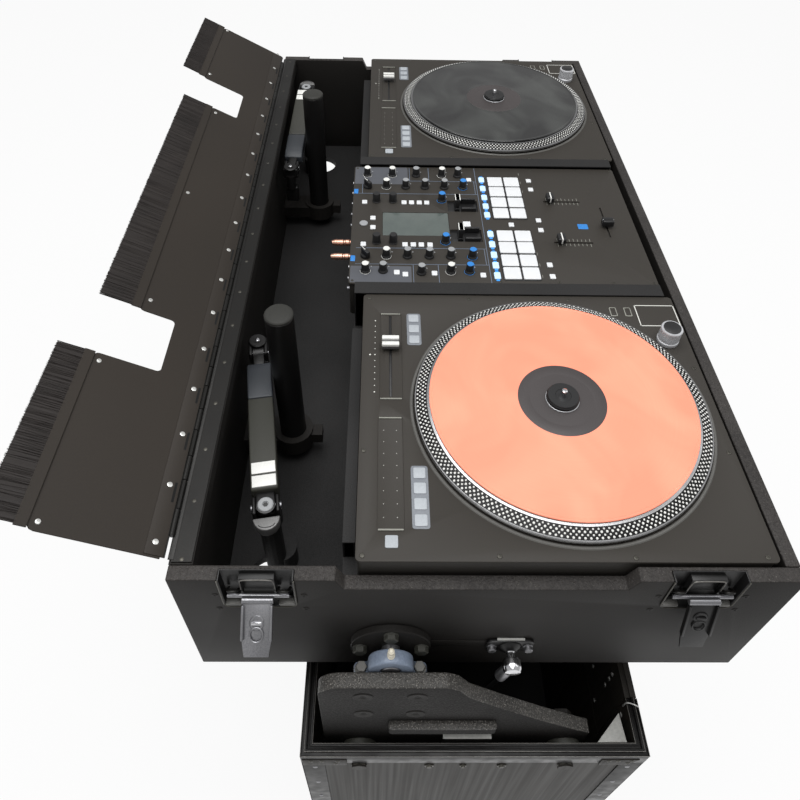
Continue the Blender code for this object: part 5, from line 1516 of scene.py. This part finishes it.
@operator
class CONSOLECASE_OT_base_trim(bpy.types.Operator):
    """Rim channel with its tongue, corner plates, edge angles, screws and bolts of the base"""
    bl_idname = "consolecase.base_trim"
    bl_label = "Base trim"

    def execute(self, context):
        self.rim()
        self.corners()
        self.edge_angles()
        self.edge_rivets()
        self.door_joint()
        gussets = [slab([(sign * x, y) for x, y in ((606, -161), (574.5, -194), (606, -196.5))], "z",
                        609, 612, 0.4) for _, sign in ENDS]
        dress(gussets, "base_gussets", "base", "gusset")
        return {"FINISHED"}

    def rim(self):
        def loop(grow):
            x, front_y, rear_y = BASE_HALF + grow, BASE_FRONT - grow, BASE_REAR + grow
            half = [(x, rear_y), (x, front_y), (DOOR_HALF, front_y)]
            return [(-a, b) for a, b in half[::-1]] + half

        rings = (("black extrusion", 1.5, -12.5, RIM_TOP - 1.5, RIM_TOP, 0.4),
                 ("black extrusion", 1.5, 0.3, RIM_LOW, RIM_TOP - 0.5, 0.4),
                 ("black extrusion", -3.0, -6.5, RIM_TOP - 0.6, RIM_TOP + 3.5, 0.8),
                 ("black extrusion", 1.4, 0.4, RIM_TOP - 2, RIM_TOP + 1.2, 0.4),
                 ("black extrusion", -9.5, -12.4, RIM_TOP - 0.6, RIM_TOP + 1.2, 0.4),
                 # painted highlights: the three thin light rings stand for the light along the channel's ridges
                 ("rim edge", 1.7, 1.1, RIM_TOP + 0.6, RIM_TOP + 1.3, 0.0),
                 ("rim edge", -3.0, -3.5, RIM_TOP + 3.0, RIM_TOP + 3.6, 0.0),
                 ("rim edge", -12.0, -12.5, RIM_TOP + 0.8, RIM_TOP + 1.3, 0.0))
        channel = coated(*[(slab(loop(outside) + loop(inside)[::-1], "z", low, high, soft), name)
                           for name, outside, inside, low, high, soft in rings])
        dress(channel, "base_rim_channel", "base", node="base_rim")

    def corners(self):
        plates, bolts = [], []
        for _, sign in ENDS:
            for y0, y1, slant in ((139, BASE_REAR, 0), (-208, -163, 12)):
                outline = [(y0, 611), (y1, 611), (y1, 588), (y0 + slant, 588)]
                plates.append(slab(outline, "x", *span(sign, BASE_HALF + 1.4, BASE_HALF + 2.6), 0.4))
                spots = [(sign, BASE_HALF + 2.5, y0 + (y1 - y0) * along, z)
                         for along, z in ((0.2, 606), (0.55, 606), (0.8, 606), (0.25, 597))]
                bolts += copies(screw(3.0, 0.9, 12), [facing_out(*spot) for spot in spots])
            bolts += [moved(hex_head(radius * 0.62, 3, 1.6), facing_out(sign, BASE_HALF + 0.1, y, z))
                      for y, z, radius in WALL_BOLTS]
        dress(plates, "base_corner_plates", "base", "laminate")
        dress(bolts, "base_wall_bolts", "base", "dark screw")

    def edge_angles(self):
        strip_top = BASE_BOTTOM + ANGLE_WIDTH
        heights = (strip_top + 0.2, RIM_LOW - 1)
        angles = []
        for _, sign in ENDS:
            for y, out in ((BASE_FRONT, -1), (BASE_REAR, 1)):
                for depth, width in ((0.2, ANGLE_WIDTH), (ANGLE_WIDTH, 0.2)):
                    angles.append(end_block(sign, BASE_HALF - depth, BASE_HALF + 1.4,
                                            *aside(y, out, -width, 1.4), *heights, 0.4))
            angles.append(end_block(sign, BASE_HALF - 0.2, BASE_HALF + 1.4, BASE_FRONT, BASE_REAR, BASE_BOTTOM,
                                    strip_top, 0.4))
        for y, out in ((BASE_FRONT, -1), (BASE_REAR, 1)):
            low, high = aside(y, out, -0.2, 1.4)
            angles.append(block((-BASE_HALF, low, BASE_BOTTOM), (BASE_HALF, high, strip_top), 0.4))
        dress(angles, "base_edge_angles", "base", "black extrusion")

    def edge_rivets(self):
        low, inset, proud = BASE_BOTTOM + 13, 14, 1.2
        uprights = range(200, 580, 75)
        faces = [(x, low) for x in range(-560, 561, 80)]
        faces += [(x, z) for x in (inset - BASE_HALF, BASE_HALF - inset) for z in uprights]
        places = []
        for x, z in faces:
            places += [at((x, BASE_REAR + proud, z), -90, "X"), at((x, BASE_FRONT - proud, z), 90, "X")]
        ends = [(y, low) for y in range(-190, 191, 76)]
        ends += [(y, z) for y in (BASE_FRONT + inset, BASE_REAR - inset) for z in uprights]
        places += [facing_out(sign, BASE_HALF + proud, y, z) for _, sign in ENDS for y, z in ends]
        dress(copies(rivet(3.0, 1.2), places), "base_edge_rivets", "base", "satin chrome")

    def door_joint(self):
        """Stud heads inside both walls at the door's joint, and the wire that holds the shut door."""
        for body in ("front_door", "base"):
            places = [at((sign * x, BASE_FRONT + WALL - 0.1, z), -90, "X") for _, sign in ENDS
                      for owner, x, z in DOOR_STUDS if owner == body]
            dress(copies(rivet(3.2, 1.4), places), f"{body}_wall_studs", body, "screw white")
        hooks = [wire([(sign * x, y, z) for x, y, z in DOOR_WIRE], 0.9) for _, sign in ENDS]
        dress(hooks, "base_door_wires", "base", "screw white")


@operator
class CONSOLECASE_OT_castors(bpy.types.Operator):
    """Castor wheels: tyre, core, hub and axle bolt"""
    bl_idname = "consolecase.castors"
    bl_label = "Castor wheels"

    def execute(self, context):
        tyre = ((46, 1.5), (55, 0.6), (60.5, 2.5), (62.5, 8), (62.5, 24), (60.5, 29.5), (55, 31.4), (46, 30.5))
        core = ((16, -2.4), (19, -2.0), (22, 2.5), (44, 4), (47, 2.0), (47.2, 16), (47, 30), (44, 28),
                (22, 29.5), (19, 34.0), (16, 34.4))
        bolt = ((7, -3.0), (7, 35.0))
        for index, (x, y) in enumerate(CASTORS):
            centre = (x, y, WHEEL_RADIUS)
            wheel = coated((turned(tyre, 64, centre, REARWARD), "tyre"),
                           (turned(core, 48, centre, REARWARD), "wheel core"),
                           (turned(bolt, 6, centre, REARWARD), "satin chrome"))
            dress(wheel, f"castor_{index + 1}", f"castor_wheel_{index + 1}",
                  node=f"castor_wheel_{index + 1}")
        return {"FINISHED"}


@operator
class CONSOLECASE_OT_poles(bpy.types.Operator):
    """Poles with their end caps"""
    bl_idname = "consolecase.poles"
    bl_label = "Poles"

    def execute(self, context):
        radius, top = POLE_RADIUS, POLE_TOP
        tube = ((radius - 1, POLE_FOOT), (radius, POLE_FOOT + 1), (radius, top - 5.2),
                (radius - 0.5, top - 4.8))
        cap = ((radius, top - 4.4), (radius, top - 2.2), (radius - 0.9, top - 0.9), (radius - 1.8, top - 0.4),
               (radius - 3, top))
        for end, sign in ENDS:
            foot = (sign * POLE_X, POLE_Y, 0)
            pole = coated((turned(tube, 48, foot), "black steel"), (turned(cap, 48, foot), "pole cap"))
            dress(pole, f"pole_{end}_tube", f"pole_{end}", node=f"pole_{end}")
        return {"FINISHED"}


@operator
class CONSOLECASE_OT_monitor_arms(bpy.types.Operator):
    """The two folded monitor arms: shoulder, gas arm with bare plates, and wrist with its head"""
    bl_idname = "consolecase.monitor_arms"
    bl_label = "Monitor arms"

    def execute(self, context):
        for end, _ in ENDS:
            pin = Vector((*ARMS[end]["post"], ARMS[end]["height"]))
            wrist = Vector(ARMS[end]["wrist"])
            run = wrist - pin
            yaw = math.degrees(math.atan2(run.y, run.x))
            pitch = Matrix.Rotation(-math.asin(run.z / run.length), 4, "Y")
            self.gas_arm(end, HOME @ at(pin, yaw) @ pitch, run.length)
            self.shoulder(end, HOME @ at(pin, yaw))
            self.wrist(end, HOME @ at(wrist, yaw))
        return {"FINISHED"}

    def gas_arm(self, end, place, reach):
        """Drawn along X from the shoulder pin, with its top up."""
        seam = reach - 82
        fall = 14.6 - 4.0 * (seam - 34) / (reach - 68)
        lower = slab([(14, -12), (seam - 0.3, -11.3), (seam - 0.3, fall), (34, 14.6), (17, 14.4), (14, 12)],
                     "y", -15.2, 15.2)
        upper = slab([(seam + 0.3, -11.3), (reach - 30, -11), (reach - 22, -6), (reach - 22, 6),
                      (reach - 34, 10.6), (seam + 0.3, fall)], "y", -15.2, 15.2)
        nose = cut(block((reach - 26, -7, -5), (reach, 7, 5), 1.2), cross_rod(reach, 12, 4.3, 24))
        knuckle = cut(cross_rod(reach, 7.3, 8.5, 32, 0.5), cross_rod(reach, 12, 4.3, 24))
        plates = [block((low, -13.4, 13), (low + 14.5, 13.4, 15.2), 0.5) for low in (17, 34)]
        boss = (-2.6, 0, 0)
        whole = coated(
            (softened(lower, 1.8, 3, 20), "arm paint"), (softened(upper, 1.8, 3, 20), "arm paint cool"),
            (turned([(10.2, 6.4), (10.4, 7), (10.4, 9.2), (9.2, 9.6)], 32, boss), "black plastic"),
            (turned([(8.6, 9.4), (8.6, 10.4), (7.6, 11), (3.6, 11), (3.2, 9.9)], 32, boss), "cap grey"),
            (turned([(3, 9.5), (3, 10)], 6, boss), "black plastic"),
            (block((-7, -10.3, -7), (16, 10.3, 7), 2), "black steel"), (nose, "black steel"),
            (knuckle, "black steel"), (cross_rod(0, 17, 4, 24, 0.4), "satin chrome"),
            *[(plate, "cap white") for plate in plates])
        dress(whole, f"gas_arm_{end}_shell", f"gas_arm_{end}", place=place, node=f"gas_arm_{end}")

    def shoulder(self, end, place):
        cup = cut(turned([(15, -29.5), (16, -28.5), (16, -15.5), (15, -14.5)], 32),
                  rod((0, 0, -40), (0, 0, -19.5), 7.6, 24))
        parts = [(cup, "black steel")]
        for side in (-1, 1):
            low, high = aside(0, side, 10.8, 15)
            ear = cut(block((-12, low, -16), (9.4, high, 9.4), 2, 3), cross_rod(0, 20, 4.6, 24))
            parts.append((ear, "black steel"))
        turns = [math.radians(a) for a in range(-80, 81, 20)]
        moon = [(-16.6, -14.6), *[(-16.6 - 15.4 * math.cos(t), 14.6 * math.sin(t)) for t in turns],
                (-16.6, 14.6)]
        crescent = [(-24.0 - 4.6 * math.cos(t), 9.0 * math.sin(t), 7.3) for t in turns]
        parts += [(slab(moon, "z", -6.0, 7.4, 1.2, 3), "arm cover"), (wire(crescent, 0.6, 6), "black plastic")]
        dress(coated(*parts), f"shoulder_{end}_cup", f"shoulder_{end}", place=place,
              node=f"arm_shoulder_{end}")

    def wrist(self, end, place):
        steel = [block((-8, side - 2.3, -9), (14, side + 2.3, 9), 1.6, 3) for side in (-10, 10)]
        steel += [block((10, -12.3, -9), (20, 12.3, 9), 1.6, 3), turned([(8, 0), (8, 26)], 32, (17, 0, -30)),
                  turned([(11, 8.4), (11.4, 9.2), (11.4, 11.2), (10.4, 12), (5, 12), (5, 12.6)], 32,
                         (14, 0, 0)),
                  block((8, -11, -58), (20, 11, -28), 3, 3)]
        bright = [cross_rod(0, 13, 3.7, 24, 0.4), moved(screw(3.2, 1.2, 16), at((14, 0, 12.4)))]
        whole = coated(*[(item, "polished chrome") for item in bright],
                       *[(item, "black steel") for item in steel])
        dress(whole, f"wrist_{end}_head", f"wrist_{end}", place=place, node=f"arm_wrist_{end}")


class CONSOLECASE_PT_panel(bpy.types.Panel):
    """Sizes, colours and the build steps"""
    bl_idname = "CONSOLECASE_PT_panel"
    bl_label = "Console case"
    bl_space_type = "VIEW_3D"
    bl_region_type = "UI"
    bl_category = "Console case"

    def draw(self, context):
        case = context.scene.console_case
        for name in ("record_left", "record_right", "accent", "shell", "pad", "knob_height", "pad_rise",
                     "strobe_dots", "bristle_tufts", "lamp_strength"):
            self.layout.prop(case, name)
        for cls in OPERATORS:
            self.layout.operator(cls.bl_idname)


def register():
    for cls in (ConsoleCaseSettings, *OPERATORS, CONSOLECASE_PT_panel):
        bpy.utils.register_class(cls)
    bpy.types.Scene.console_case = PointerProperty(type=ConsoleCaseSettings)


def unregister():
    del bpy.types.Scene.console_case
    for cls in (CONSOLECASE_PT_panel, *reversed(OPERATORS), ConsoleCaseSettings):
        bpy.utils.unregister_class(cls)


def main():
    register()
    for cls in OPERATORS:
        area, name = cls.bl_idname.split(".")
        getattr(getattr(bpy.ops, area), name)()
    let_go()


if __name__ == "__main__":
    main()
